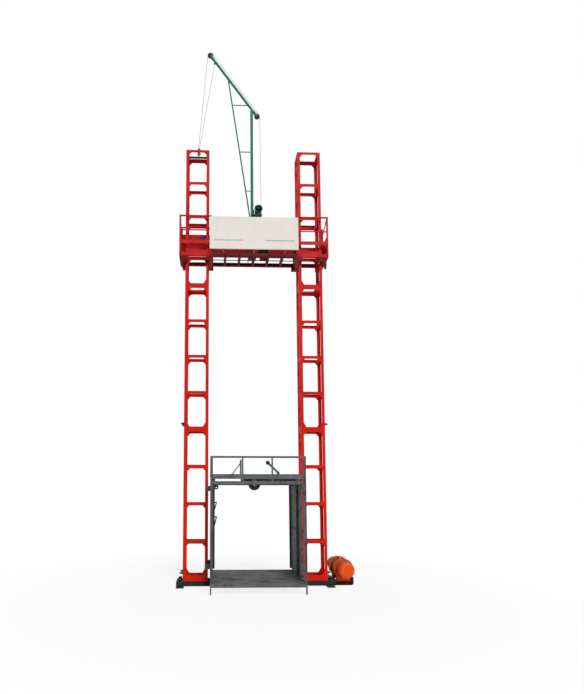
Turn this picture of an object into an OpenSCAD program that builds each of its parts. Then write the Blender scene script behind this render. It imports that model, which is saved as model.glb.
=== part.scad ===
// Two-mast material hoist: base frame, bolted lattice masts, cage, climbing platform with a swinging
// jib, and an electric winch. X runs from mast to mast, Y away from the loading side, Z up.
// The origin lies on the ground midway between the masts, at the middle of their depth.

/* [Masts] */
// Height of one bay of a mast section
bay_h = 750; // [600:10:900]
// Bays in one mast section
bays = 4; // [3:1:5]
// Width of a mast
mast_w = 490; // [440:5:560]
// Depth of a mast
mast_d = 320; // [290:5:380]
// Clear width between the two masts
mast_gap = 1880; // [1700:10:2100]
// Leg of the corner angles
post_leg = 59; // [55:1:70]
// Thickness of the corner angles and rungs
mast_plate = 6; // [4:0.5:9]
// Height of a rung
rung_h = 60; // [46:1:70]
// Height of the rungs at the ends of a section
end_rung_h = 52; // [40:1:70]
// Inward leg of a rung
rung_leg = 32; // [25:1:55]
// Height of the plate at the foot of each mast
foot_band = 105; // [80:1:140]
// Width of the corner gussets
gusset_w = 52; // [30:1:65]
// Height of the upper corner gussets
gusset_h = 62; // [40:1:90]
// Height of the lower corner gussets
foot_gusset_h = 90; // [50:1:110]
// Thickness of the flanges that join the sections
flange_t = 10; // [8:1:16]
// Diameter of the bolts that join the sections
joint_bolt_d = 20; // [16:1:24]

/* [Base] */
// Thickness of the ground plates
pad_h = 20; // [12:1:40]
// Height of the base channels
beam_h = 100; // [80:1:140]
// Flange width of the base channels
beam_flange = 65; // [58:1:80]
// Wall of the base channels
beam_t = 8; // [6:0.5:10]
// Length of the base beyond the left mast
base_end = 125; // [100:5:270]
// Distance of the anchor holes beyond the masts
anchor_set = 50; // [20:5:70]
// Distance of the anchor holes outside the base channels
anchor_out = 55; // [40:1:80]
// Diameter of the anchor holes
anchor_hole_d = 22; // [16:1:30]

/* [Winch] */
// Length of the winch drum between its flanges
drum_len = 212; // [210:1:240]
// Diameter of the drum core
drum_d = 300; // [280:2:306]
// Diameter of the round end frames
winch_disc_d = 390; // [350:2:420]
// Height of the skid under the winch
skid_h = 83; // [70:1:95]
// Width of the skid
skid_w = 370; // [340:5:400]
// Length of the skid
skid_len = 700; // [640:5:760]
// Diameter of the motor body
motor_d = 266; // [240:2:290]
// Length of the finned motor body
motor_len = 195; // [170:5:240]
// Length of the gear cover
gear_len = 230; // [200:1:260]
// Diameter of the gear cover
gear_d = 340; // [310:2:340]
// Length of the fan cover
fan_len = 170; // [130:5:200]
// Diameter of the wound rope
rope_d = 11; // [8:0.1:11.5]
// Spacing of the turns of wound rope
rope_pitch = 12; // [12:0.1:12.3]

/* [Cage] */
// Gap between the cage and the masts
cage_clear = 48; // [40:1:60]
// Depth of the cage
cage_d = 1626; // [1400:5:1800]
// Leg of the cage corner posts
cage_post = 50; // [40:1:60]
// Height of the landing legs
leg_h = 128; // [110:1:160]
// Height of the cage sills
sill_h = 66; // [58:1:76]
// Level of the floor above the bottom of the sills
floor_rise = 36; // [32:1:46]
// Thickness of the floor boards
board_t = 24; // [18:1:28]
// Clear height of the cage between the sills and the top beams
cage_h = 1806; // [1700:2:1950]
// Height of the cage top beams
top_beam_h = 61; // [50:1:80]
// Height of the crossbeam over the cage
crossbeam_h = 70; // [66:1:90]
// Height of the guard rail above the crossbeam
guard_h = 311; // [280:1:400]
// Radius of the cage sheave
cage_sheave_r = 120; // [100:1:130]
// Radius of the guide rollers
roller_r = 40; // [30:1:45]

/* [Platform] */
// Depth of the underside of the platform beams below the rung that the platform hangs from
platform_drop = 135; // [75:5:370]
// Height of the platform beams
platform_beam_h = 70; // [60:1:90]
// Length of the platform beyond the masts
platform_over = 127; // [110:1:170]
// Height of the guard rails above the platform beams
rail_rise = 820; // [700:5:900]
// Height of the sign board
sign_h = 700; // [600:2:800]
// Radius of the rope sheave over the cage
centre_sheave_r = 112; // [95:1:118]

/* [Jib] */
// Diameter of the jib pole
pole_d = 60; // [50:1:70]
// Diameter of the jib boom
boom_d = 50; // [40:1:56]
// Radius of the jib sheaves
jib_sheave_r = 60; // [50:1:66]
// Diameter of the hand winch flanges
hand_winch_d = 150; // [140:2:176]
// Diameter of the jib rope
jib_rope_d = 9; // [6:0.5:11]

/* [Hidden] */
$fn = 48;

// Clearances
overrun = 1;
running_fit = 0.05;
slide_gap = 0.3;
bolt_play = 0.75;

// Bolts of a head frame on top of a mast
head_bolt_d = 16;

// Sheaves
groove_share = 0.12;
hub_share = 0.95;
cheek_t = 10;
cheek_w = 60;
cheek_gap = 3;
bracket_plate_t = 10;

// Places that follow from the driving sizes
base_top = pad_h + beam_h;
section_h = bays * bay_h;
section_count = 3;
mast_top = base_top + section_count * section_h;
mast_in = mast_gap / 2;
mast_out = mast_in + mast_w;
mast_x = mast_in + mast_w / 2;
face_y = mast_d / 2;
cage_hx = mast_in - cage_clear;
cage_hy = cage_d / 2;
sill_top = leg_h + sill_h;
floor_top = leg_h + floor_rise;
beam_low = sill_top + cage_h;
beam_high = beam_low + top_beam_h;
crossbeam_rise = 86;
crossbeam_low = beam_high + crossbeam_rise;
crossbeam_top = crossbeam_low + crossbeam_h;
guard_top = crossbeam_top + guard_h;
base_left = mast_out + base_end;
anchor_x = mast_out + anchor_set;
platform_reach = mast_out + platform_over;

// Bolts
bolt_inset = 36;
bolt_x = mast_w / 2 - bolt_inset;
bolt_y = mast_d / 2 - bolt_inset;
bolt_head_share = 1.55;
bolt_head_h_share = 0.65;
bolt_tail = 8;

// Base members
cross_w = 50;
cross_pitch = 230;
cross_t = 6;
anchor_plate_w = 150;
anchor_y = face_y + anchor_out;
anchor_rim = 45;
plain_pad_w = 120;

// Lifting bar in the top of the left mast
lift_bar_d = 40;
lift_bar_drop = 47;
lift_bar_z = mast_top - lift_bar_drop;
lift_pad_d = 60;
lift_pad_t = 8;
shackle_d = 14;
shackle_w = 46;
shackle_h = 20;
shackle_top = lift_bar_d / 2 + shackle_h - shackle_d;

// Winch
winch_out = 340;
winch_x = mast_out + winch_out;
winch_y = 136;
base_right = winch_x - skid_w / 2;
skid_t = 8;
skid_flange = 60;
skid_taper = 90;
skid_shift = 94;
disc_t = 90;
disc_gap = 10;
drum_flange_t = 10;
drum_flange_rise = 18;
drum_half = drum_len / 2;
disc_in = drum_half + drum_flange_t + disc_gap;
disc_out = disc_in + disc_t;
disc_lift = 30;
winch_z = pad_h + skid_h + winch_disc_d / 2 + disc_lift;
shaft_d = 60;
foot_w = 260;
tie_w = 60;
tie_t = 16;
tie_angles = [90, 25, 335];
fin_count = 28;
fin_h = 17;
fin_t = 6;
gear_round = 80;
gear_lip = 24;
gear_lip_t = 22;
fan_d = 280;
fan_round = 70;
fan_lip = 20;
terminal_l = 120;
terminal_w = 110;
terminal_h = 46;
terminal_angle = 0;

// Rope winding on the drum
winding_loops = 16;
loop_rings = 24;
rope_sides = 6;
rope_r = rope_d / 2;
// The straight lengths between the rings dip towards the drum, so they set the radius
winding_r = (drum_d / 2 + slide_gap) / cos(180 / loop_rings) + rope_r;
clamp_l = 30;

// Cage
angle_t = 5;
wall_t = 4;
mid_post_y = -450;
joist_w = 40;
joist_xs_shares = [-0.7, -0.24, 0.24, 0.7];
board_count = 8;
board_gap = 3;
board_stagger = 40;
board_end_shares = [0.1, 0.7, 0.25, 0.95, 0.4, 0.8, 0, 0.55];
knee_share = 0.5;
leg_w = 26;
cross_gap = 60;
channel_w = 50;
channel_t = 7;
hanger_t = 10;
hanger_w = 90;
cage_sheave_w = 34;
cage_sheave_drop = 51;
cage_sheave_z = beam_high - cage_sheave_drop;
sheave_pin_d = 40;
pin_head = 8;
pin_head_t = 8;
guard_bar_h = 36;
guard_bar_w = 26;
toe_rise = 40;
toe_h = 86;
upright_w = 30;
upright_xs = [-289, 262];
stay_x = -280;
stay_foot_x = -448;
stay_rise = 290;
stay_join = 230;
stay_w = 34;
stay_d = 22;
roof_x = -275;
roof_t = 4;
gusset_reach = 120;
gusset_drop = 90;
gusset_lip = 12;
gusset_neck = 45;
gusset_hole_d = 40;

// Guide rollers of the cage
roller_w = 40;
roller_axle_d = 30;
roller_head_d = 46;
roller_head_t = 8;
roller_y = face_y + roller_r + slide_gap;
guide_t = 8;
guide_h = 100;
guide_rim = 56;
guide_cover_t = 6;
boss_d = 64;
roller_set = 4;
roller_x = mast_in + roller_set;
upper_roller_z = 1925;
lower_roller_z = 415;

// Stop bolts that slide out of the crossbeam
stop_d = 40;
stop_len = 200;
stop_proud = 14;
stop_z = crossbeam_low + crossbeam_h / 2;
bush_l = 30;
bush_set = 60;
knob_d = 56;
knob_t = 12;

// Safety lever on the crossbeam
lever_x = 480;
lever_rise = 30;
lever_z = crossbeam_top + lever_rise;
lever_y = -(cross_gap / 2 + channel_w / 2);
lever_len = 290;
lever_angle = 44;
lever_w = 44;
lever_t = 14;
lever_pin_d = 20;
lever_eye_d = 84;
lever_eye_hole_d = 24;
lug_t = 10;
lug_w = 56;

// Platform
platform_rungs = 9;
platform_z = base_top + platform_rungs * bay_h - platform_drop;
platform_top = platform_z + platform_beam_h;
platform_y = 205;
platform_beam_w = 50;
platform_beam_t = 7;
beam_out_y = platform_y + platform_beam_w / 2;
beam_in_y = platform_y - platform_beam_w / 2;
joist_count_half = 3;
joist_set = 40;
joist_pitch = (mast_in - joist_set) / joist_count_half;
platform_joist_w = 50;
walk_bar_w = 16;
walk_bar_t = 8;
walk_bar_y = 62;
guide_arm_w = 40;
inner_arm_gap = 6;
outer_arm_gap = 40;
inner_arm_drop = 305;
outer_arm_drop = 235;
inner_block_w = 86;
inner_block_drop = 243;
shoe_h = 90;
shoe_low = 95;
rail_post_w = 40;
rail_post_t = 5;
top_rail_d = 32;
knee_low = 197;
knee_h = 75;
knee_t = 6;
rear_board_low = 205;
rear_board_h = 190;
screen_low = 330;
screen_h = 320;
screen_t = 3;
end_panel_rise = 445;
brace_d = 22;
brace_drop = 180;
mid_rail_d = 24;
mid_rail_rise = 495;
sign_side = 15;
sign_hx = mast_in - sign_side;
sign_low = 73;
sign_t = 25;
sign_frame_w = 40;
sign_frame_xs = [-640, 0, 640];
sign_lip = 12;
sign_lip_t = 5;
lock_w = 40;
lock_reach = 60;

// Rope sheaves on the platform
platform_sheave_w = 30;
platform_pin_d = 36;
rope_drop_x = pitch_radius(cage_sheave_r, rope_d);
centre_sheave_x = rope_drop_x + pitch_radius(centre_sheave_r, rope_d);
side_sheave_clear = 6;
side_sheave_share = 50 / 127;
side_sheave_r = platform_over * side_sheave_share;
side_sheave_x = mast_out + side_sheave_r + side_sheave_clear;
side_rope_x = side_sheave_x + pitch_radius(side_sheave_r, rope_d);
centre_sheave_rise = 150;
side_sheave_rise = 110;
centre_sheave_z = platform_top + centre_sheave_rise;
side_sheave_z = platform_top + side_sheave_rise;
rope_hole_d = 26;
anchor_t = 12;
anchor_drop = 90;
anchor_eye_d = 60;
anchor_eye_hole_d = 26;

// Jib
jib_x = -20;
socket_d = 100;
socket_h = 320;
socket_plate_w = 160;
socket_plate_t = 12;
collar_d = 108;
collar_h = 24;
tip_rise = 2369;
rear_rise = 940;
tip = [-927, mast_top + tip_rise];
rear = [100, mast_top + rear_rise];
boom_dir = (tip - rear) / norm(tip - rear);
boom_angle = atan2(boom_dir.x, boom_dir.y);
boom_len = norm(tip - rear);
fork_len = 105;
fork_t = 8;
fork_w = 46;
jib_sheave_w = 24;
jib_pin_d = 24;
jib_pitch_r = pitch_radius(jib_sheave_r, jib_rope_d);
pole_top_along = (rear.x - jib_x) / (rear.x - tip.x) * boom_len;
strut_d = 30;
strut_top_along = 1090;
strut_foot_rise = 599;
strut_foot_z = platform_top + strut_foot_rise;
rung_d = 18;
rung_rises = [1524, 2420, 3513];
rung_zs = [for (rise = rung_rises) platform_top + rise];
becket_set = 175;
becket_along = boom_len - becket_set;
becket_len = 60;
becket_d = 34;

// Hand winch on the jib pole
hand_x = 113;
hand_rise = 1080;
hand_z = platform_top + hand_rise;
hand_core_d = 122;
hand_drum_w = 90;
hand_flange_t = 6;
hand_side_t = 10;
hand_side_gap = 4;
hand_plate_w = 70;
hand_shaft_d = 26;
hand_base_t = 14;
hand_base_drop = 112;
crank_len = 170;
crank_w = 26;
crank_t = 10;
crank_gap = 14;
crank_grip_d = 28;
crank_grip_l = 110;
wrap_rings = 10;
hand_pitch_r = hand_core_d / 2 + slide_gap + jib_rope_d / 2;

// Hook that hangs from the jib
hook_rise = 110;
hook_at = [-1166, mast_top + hook_rise];
block_r = 34;
block_w = 40;
fall_spread = 20;
fall_socket_d = 15;
fall_socket_l = 58;
fall_gap = 1;
hook_d = 16;
hook_r = 26;
hook_clear = 8;
hook_low = mast_top + hook_clear;

red = "#C9241C";
dark_red = "#A01F1C";
grey = "#5F6467";
dark_grey = "#3C4043";
base_black = "#282D2A";
orange = "#E15519";
green = "#2A7D70";
board_brown = "#6A655C";
rope_grey = "#8D8A84";

// Depth of the rope groove of a sheave of radius r
function groove_depth(r) = r * groove_share;
// Radius at which the middle of a rope of diameter d runs on a sheave of radius r
function pitch_radius(r, d) = r - groove_depth(r) + d / 2 + slide_gap;

// A box between two corners
module block(low, high) {
    translate(low) cube(high - low);
}

// A round bar from p to q
module rod(p, q, d) {
    v = q - p;
    translate(p) rotate([0, acos(v.z / norm(v)), atan2(v.y, v.x)]) cylinder(d = d, h = norm(v));
}

// A round bar along Y about the point p, from y0 to y1
module pin_y(p, d, y0, y1) {
    translate([p.x, y0, p.y]) rotate([-90, 0, 0]) cylinder(d = d, h = y1 - y0);
}

// The children and their mirror image on the other side
module left_and_right() {
    children();
    mirror([1, 0, 0]) children();
}

// The children and their mirror image at the rear
module front_and_rear() {
    children();
    mirror([0, 1, 0]) children();
}

// The corners of a rope's outline about its middle; side is square to the rope and to Y
function tube_ring(middle, side, r) = [
    for (s = [0 : rope_sides - 1])
        let (t = (s + 1 / 2) * 360 / rope_sides)
        middle + r * (cos(t) * side + sin(t) * [0, 1, 0])
];
// The triangles of a closed tube through rings 0 to last
function tube_faces(last) = [
    for (k = [0 : last - 1], s = [0 : rope_sides - 1])
        let (n = (s + 1) % rope_sides, p = k * rope_sides, q = p + rope_sides)
        each [[p + s, q + n, p + n], [p + s, q + s, q + n]],
    for (s = [1 : rope_sides - 2]) [0, s, s + 1],
    for (s = [1 : rope_sides - 2], e = [last * rope_sides]) [e, e + s + 1, e + s]
];

// A grooved rope sheave of radius r and width w about the Y axis
module sheave(r, w, bore) {
    groove = groove_depth(r);
    rim = r - 3 * groove;
    hub = bore * hub_share;
    recess = hub + 2 * groove < rim;
    web = [[hub, -w / 2], [hub + groove, -w / 4], [rim - groove, -w / 4], [rim, -w / 2]];
    back_web = [[rim, w / 2], [rim - groove, w / 4], [hub + groove, w / 4], [hub, w / 2]];
    tread = [[r, -w / 2], [r - groove, -w / 8], [r - groove, w / 8], [r, w / 2]];
    rotate([90, 0, 0]) rotate_extrude() polygon(concat(
        [[bore / 2 + running_fit, w / 2], [bore / 2 + running_fit, -w / 2]],
        recess ? web : [], tread, recess ? back_web : []
    ));
}

// Masts

function bay_low(level, i) = i * bay_h + (i > 0 ? rung_h / 2 : level == 0 ? foot_band : end_rung_h);
function bay_high(i) = (i + 1) * bay_h - (i < bays - 1 ? rung_h / 2 : end_rung_h);

// The open part of one bay, with gussets in its upper corners and, in the first bay, its lower ones
module bay_window(half, low, high, first) {
    foot = first
        ? [[-half, low + foot_gusset_h], [gusset_w - half, low],
           [half - gusset_w, low], [half, low + foot_gusset_h]]
        : [[-half, low], [half, low]];
    head = [[half, high - gusset_h], [half - gusset_w, high],
            [gusset_w - half, high], [-half, high - gusset_h]];
    polygon(concat(foot, head));
}

// One face of a mast section: corner legs, rungs and gussets
module mast_face(level, half) {
    linear_extrude(mast_plate) difference() {
        translate([-half, 0]) square([2 * half, section_h]);
        for (i = [0 : bays - 1])
            bay_window(half - post_leg, bay_low(level, i), bay_high(i), i == 0);
    }
}

// A flat frame that lies inside the four faces
module mast_ring(leg, t) {
    linear_extrude(t) difference() {
        square([mast_w, mast_d], center = true);
        square([mast_w - 2 * leg, mast_d - 2 * leg], center = true);
    }
}

// The inward legs of the rungs at one level, cut short at the corner angles
module rung_legs() {
    linear_extrude(mast_plate) difference() {
        square([mast_w, mast_d], center = true);
        square([mast_w - 2 * rung_leg, mast_d - 2 * rung_leg], center = true);
        for (x = [-1, 1], y = [-1, 1])
            translate([x * (mast_w - post_leg) / 2, y * (mast_d - post_leg) / 2])
                square(post_leg, center = true);
    }
}

// The places of the four bolts at each joint
module at_joint_bolts() {
    for (x = [-bolt_x, bolt_x], y = [-bolt_y, bolt_y])
        translate([x, y, 0]) children();
}

module joint_flange(bolt_d) {
    difference() {
        mast_ring(post_leg, flange_t);
        at_joint_bolts()
            translate([0, 0, -overrun])
                cylinder(d = bolt_d + 2 * bolt_play, h = flange_t + 2 * overrun);
    }
}

module mast_section(side, level) {
    color(red) translate([side * mast_x, 0, base_top + level * section_h]) {
        front_and_rear() translate([0, mast_plate - face_y, 0]) rotate([90, 0, 0])
            mast_face(level, mast_w / 2);
        left_and_right() translate([mast_w / 2 - mast_plate, 0, 0]) rotate([90, 0, 90])
            mast_face(level, face_y);
        for (i = [1 : bays - 1])
            translate([0, 0, i * bay_h + rung_h / 2 - mast_plate]) rung_legs();
        joint_flange(joint_bolt_d);
        translate([0, 0, section_h - flange_t])
            joint_flange(level == section_count - 1 ? head_bolt_d : joint_bolt_d);
    }
}

module left_mast_lower() { mast_section(-1, 0); }
module left_mast_middle() { mast_section(-1, 1); }
module left_mast_upper() { mast_section(-1, 2); }
module right_mast_lower() { mast_section(1, 0); }
module right_mast_middle() { mast_section(1, 1); }
module right_mast_upper() { mast_section(1, 2); }

// A hexagon bolt with its nut through a joint: plate_below lies under the joint plane
module joint_bolt(plate_below) {
    head_d = joint_bolt_d * bolt_head_share;
    head_h = joint_bolt_d * bolt_head_h_share;
    translate([0, 0, flange_t]) cylinder(d = head_d, h = head_h, $fn = 6);
    translate([0, 0, -plate_below - head_h - bolt_tail])
        cylinder(d = joint_bolt_d, h = plate_below + head_h + bolt_tail + flange_t);
    translate([0, 0, -plate_below - head_h]) cylinder(d = head_d, h = head_h, $fn = 6);
}

module mast_bolts() {
    color(dark_grey) for (x = [-mast_x, mast_x], level = [0 : section_count - 1])
        translate([x, 0, base_top + level * section_h]) at_joint_bolts()
            joint_bolt(level == 0 ? beam_t : flange_t);
}

// The bar across the top of the left mast that the jib hook takes, with its shackle
module lifting_bar() {
    half = mast_w / 2 - mast_plate;
    color(base_black) translate([-mast_x, 0, lift_bar_z]) {
        rod([-half, 0, 0], [half, 0, 0], lift_bar_d);
        left_and_right() rod([half - lift_pad_t, 0, 0], [half, 0, 0], lift_pad_d);
        front_and_rear() rod([0, -shackle_w / 2, 0], [0, -shackle_w / 2, shackle_top], shackle_d);
        translate([0, 0, shackle_top])
            rod([0, -shackle_w / 2 - shackle_d / 2, 0], [0, shackle_w / 2 + shackle_d / 2, 0], shackle_d);
    }
}

// Base

module base_beam() {
    color(base_black) difference() {
        union() {
            block([-base_left, -face_y, pad_h], [base_right, beam_t - face_y, base_top]);
            block([-base_left, -face_y, pad_h], [base_right, beam_flange - face_y, pad_h + beam_t]);
            block([-base_left, -face_y, base_top - beam_t], [base_right, beam_flange - face_y, base_top]);
        }
        for (x = [-mast_x, mast_x], s = [-bolt_x, bolt_x])
            translate([x + s, -bolt_y, base_top - beam_t - overrun])
                cylinder(d = joint_bolt_d + 2 * bolt_play, h = beam_t + 2 * overrun);
    }
}

module base_front_beam() { base_beam(); }
module base_rear_beam() { mirror([0, 1, 0]) base_beam(); }

// A channel between the two base beams, seated on their webs and flanges
module cross_member(x) {
    half = face_y - beam_t;
    difference() {
        block([x, -half, pad_h + beam_t], [x + cross_w, half, base_top - beam_t]);
        block([x + cross_t, -half - overrun, pad_h + beam_t + cross_t],
              [x + cross_w + overrun, half + overrun, base_top - beam_t - cross_t]);
    }
}

module base_cross_members() {
    color(base_black) {
        for (x = [-mast_x, mast_x], s = [-cross_pitch / 2, cross_pitch / 2])
            cross_member(x + s - cross_w / 2);
        for (x = [-base_left, -cross_w / 2, base_right - cross_w])
            cross_member(x);
    }
}

module ground_plates() {
    color(base_black) front_and_rear() {
        for (x = [-anchor_x, anchor_x]) difference() {
            block([x - anchor_plate_w / 2, -anchor_y - anchor_rim, 0],
                  [x + anchor_plate_w / 2, beam_flange - face_y, pad_h]);
            translate([x, -anchor_y, -overrun]) cylinder(d = anchor_hole_d, h = pad_h + 2 * overrun);
        }
        block([-plain_pad_w / 2, -face_y, 0], [plain_pad_w / 2, beam_flange - face_y, pad_h]);
    }
    color(base_black) for (side = [-1, 1], y = winch_y + skid_shift + side * (skid_len / 2 - skid_taper))
        block([winch_x - skid_w / 2, min(y, y - side * plain_pad_w), 0],
              [winch_x + skid_w / 2, max(y, y - side * plain_pad_w), pad_h]);
}

// Winch

// The children placed about the axis of the winch, which runs along Y
module on_winch_axis() {
    translate([winch_x, winch_y, winch_z]) children();
}

// One side channel of the skid, with ends that taper up from the ground
module skid_side() {
    low = skid_shift - skid_len / 2;
    high = skid_shift + skid_len / 2;
    translate([skid_w / 2 - skid_t, 0, pad_h]) rotate([90, 0, 90]) linear_extrude(skid_t) polygon([
        [low + skid_taper, 0], [high - skid_taper, 0], [high, skid_h], [low, skid_h]
    ]);
    block([skid_w / 2 - skid_flange, low, pad_h + skid_h - skid_t],
          [skid_w / 2, high, pad_h + skid_h]);
}

module winch_skid() {
    color(orange) translate([winch_x, winch_y, 0]) {
        left_and_right() skid_side();
        front_and_rear() block([-skid_w / 2, -disc_out, pad_h + skid_h - skid_t],
                               [skid_w / 2, -disc_in + foot_w / 4, pad_h + skid_h]);
    }
}

module winch_frame() {
    color(orange) on_winch_axis() front_and_rear() difference() {
        union() {
            pin_y([0, 0], winch_disc_d, -disc_out, -disc_in);
            block([-foot_w / 2, -disc_out, pad_h + skid_h - winch_z], [foot_w / 2, -disc_in, 0]);
        }
        pin_y([0, 0], shaft_d + 2 * running_fit, -disc_out - overrun, overrun - disc_in);
    }
}

module winch_tie_bars() {
    tie_r = winch_disc_d / 2 - tie_t;
    color(orange) on_winch_axis() for (a = tie_angles)
        rotate([0, -a, 0]) block([tie_r - tie_t / 2, -disc_in, -tie_w / 2],
                                 [tie_r + tie_t / 2, disc_in, tie_w / 2]);
}

// A round cover about the winch axis that starts at y and ends in a dome
module dome_cover(d, lip_d, lip_t, length, round) {
    rotate_extrude() difference() {
        union() {
            square([d / 2 - round, length]);
            square([d / 2, length - round]);
            square([lip_d / 2, lip_t]);
            translate([d / 2 - round, length - round]) circle(r = round);
        }
        translate([-d, -d]) square([d, 2 * d + length]);
    }
}

module winch_gear_cover() {
    color(orange) on_winch_axis() translate([0, -disc_out, 0]) rotate([90, 0, 0])
        dome_cover(gear_d, gear_d + 2 * gear_lip, gear_lip_t, gear_len, gear_round);
}

module winch_motor() {
    terminal_low = motor_d / 2 - fin_h;
    color(orange) on_winch_axis() translate([0, disc_out, 0]) {
        pin_y([0, 0], motor_d, 0, motor_len);
        for (i = [0 : fin_count - 1]) rotate([0, i * 360 / fin_count, 0])
            block([motor_d / 2 - fin_h, fin_h, -fin_t / 2],
                  [motor_d / 2 + fin_h, motor_len - fin_h, fin_t / 2]);
        rotate([0, -terminal_angle, 0]) block([terminal_low, motor_len / 4, -terminal_w / 2],
            [motor_d / 2 + fin_h + terminal_h, motor_len / 4 + terminal_l, terminal_w / 2]);
    }
}

module winch_fan_cover() {
    color(orange) on_winch_axis() translate([0, disc_out + motor_len, 0]) rotate([-90, 0, 0])
        dome_cover(fan_d, fan_d, fan_lip, fan_len, fan_round);
}

module winch_drum() {
    color(dark_grey) on_winch_axis() {
        pin_y([0, 0], drum_d, -drum_half, drum_half);
        front_and_rear() {
            pin_y([0, 0], drum_d + 2 * drum_flange_rise, -drum_half - drum_flange_t, -drum_half);
            pin_y([0, 0], shaft_d, -disc_out, -drum_half);
        }
        for (side = [-1, 1]) rope_clamp(side);
    }
}

// The block on the drum that an end of the rope butts against
module rope_clamp(side) {
    edge = side * (winding_loops * rope_pitch / 2 - rope_r);
    wall = side * (drum_half + drum_flange_t / 2);
    low = side > 0 ? rope_d : -rope_d - clamp_l;
    block([drum_d / 2 - rope_r, min(edge, wall), low],
          [drum_d / 2 + rope_d, max(edge, wall), low + clamp_l]);
}

// The middle of the wound rope, ring by ring; its two ends run straight for one rope diameter
winding_rings = winding_loops * loop_rings;
function winding_point(k) =
    let (a = k * 360 / loop_rings)
    [winding_r * cos(a), (k / loop_rings - winding_loops / 2) * rope_pitch, winding_r * sin(a)];
function winding_side(k) =
    let (a = k * 360 / loop_rings)
    [cos(a), 0, sin(a)];
winding_points = [
    each tube_ring(winding_point(0) - [0, 0, rope_d], winding_side(0), rope_r),
    for (k = [0 : winding_rings]) each tube_ring(winding_point(k), winding_side(k), rope_r),
    each tube_ring(winding_point(winding_rings) + [0, 0, rope_d], winding_side(winding_rings), rope_r)
];
// Least gap between neighbouring turns, measured on the middles of the rings
winding_gap = min([
    for (k = [0 : winding_rings - loop_rings], j = [loop_rings / 2 : 3 / 2 * loop_rings])
        if (k + j <= winding_rings) norm(winding_point(k + j) - winding_point(k)) - rope_d
]);
echo(winding_gap = winding_gap);

module winch_rope() {
    color(rope_grey) on_winch_axis() polyhedron(winding_points, tube_faces(winding_rings + 2));
}

// Cage

// An upright angle in a corner of the cage: its outer faces lie at x and y
module corner_post(x, y, z0, z1) {
    block([x - cage_post, y, z0], [x, y + angle_t, z1]);
    block([x - angle_t, y, z0], [x, y + cage_post, z1]);
}

module cage_floor_frame() {
    joist_top = floor_top - board_t;
    color(grey) {
        block([-cage_hx, -cage_hy, leg_h], [cage_hx, angle_t - cage_hy, sill_top]);
        block([-cage_hx, cage_hy - angle_t, leg_h], [cage_hx, cage_hy, floor_top]);
        front_and_rear()
            block([-cage_hx, -cage_hy, leg_h], [cage_hx, cage_post - cage_hy, leg_h + angle_t]);
        left_and_right() {
            block([cage_hx - angle_t, -cage_hy, leg_h], [cage_hx, cage_hy, sill_top]);
            block([cage_hx - cage_post, -cage_hy, leg_h], [cage_hx, cage_hy, leg_h + angle_t]);
        }
        for (share = joist_xs_shares)
            block([share * cage_hx - joist_w / 2, angle_t - cage_hy, leg_h],
                  [share * cage_hx + joist_w / 2, cage_hy - angle_t, joist_top]);
    }
}

module cage_floor_boards() {
    half_x = cage_hx - angle_t - board_gap;
    half_y = cage_hy - angle_t;
    pitch = 2 * half_y / board_count;
    color(board_brown) for (i = [0 : board_count - 1])
        translate([0, i * pitch - half_y, floor_top - board_t])
            block([board_stagger * board_end_shares[i] - half_x, board_gap / 2, 0],
                  [half_x, pitch - board_gap / 2, board_t]);
}

// The right wall: front and rear corner posts, a post at the edge of the panel, rails and the panel
module cage_wall() {
    inner = cage_hx - cage_post;
    knee_z = sill_top + knee_share * cage_h;
    color(grey) {
        corner_post(cage_hx, -cage_hy, sill_top, guard_top);
        mirror([0, 1, 0]) corner_post(cage_hx, -cage_hy, sill_top, beam_high);
        block([cage_hx - wall_t, mid_post_y, sill_top], [cage_hx, cage_hy, beam_low]);
        for (y = [mid_post_y, -cage_post / 2])
            block([inner, y, sill_top], [cage_hx - wall_t, y + angle_t, beam_low]);
        block([inner, -cage_hy, beam_low], [cage_hx, cage_hy, beam_low + angle_t]);
        block([cage_hx - angle_t, -cage_hy, beam_low], [cage_hx, cage_hy, beam_high]);
        front_and_rear() block([inner, cross_gap / 2, beam_low + angle_t],
                               [cage_hx, cross_gap / 2 + channel_w, crossbeam_low]);
        block([cage_hx - cage_post / 2, mid_post_y, knee_z],
              [cage_hx - wall_t, cage_hy, knee_z + angle_t]);
        block([cage_hx - angle_t, -cage_hy, knee_z], [cage_hx, mid_post_y, knee_z + cage_post]);
    }
}

module cage_right_wall() { cage_wall(); }
module cage_left_wall() { mirror([1, 0, 0]) cage_wall(); }

module cage_top_beams() {
    half = cage_hx - cage_post;
    color(grey) front_and_rear() {
        block([-half, -cage_hy, beam_low], [half, angle_t - cage_hy, beam_high]);
        block([-half, -cage_hy, beam_low], [half, cage_post - cage_hy, beam_low + angle_t]);
        block([-half, -cage_hy, beam_high - angle_t], [half, cage_post - cage_hy, beam_high]);
    }
}

// One channel of the crossbeam, with its flanges turned outwards
module cross_channel() {
    web = cross_gap / 2;
    block([-cage_hx, web, crossbeam_low], [cage_hx, web + channel_t, crossbeam_top]);
    for (z = [crossbeam_low, crossbeam_top - channel_t])
        block([-cage_hx, web, z], [cage_hx, web + channel_w, z + channel_t]);
}

// Plates that hang from the crossbeam and carry the cage sheave
module sheave_hanger() {
    difference() {
        union() {
            block([-hanger_w / 2, cross_gap / 2 - hanger_t, cage_sheave_z],
                  [hanger_w / 2, cross_gap / 2, crossbeam_top]);
            pin_y([0, cage_sheave_z], hanger_w, cross_gap / 2 - hanger_t, cross_gap / 2);
        }
        pin_y([0, cage_sheave_z], sheave_pin_d + 2 * running_fit,
              cross_gap / 2 - hanger_t - overrun, cross_gap / 2 + overrun);
    }
}

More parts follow.
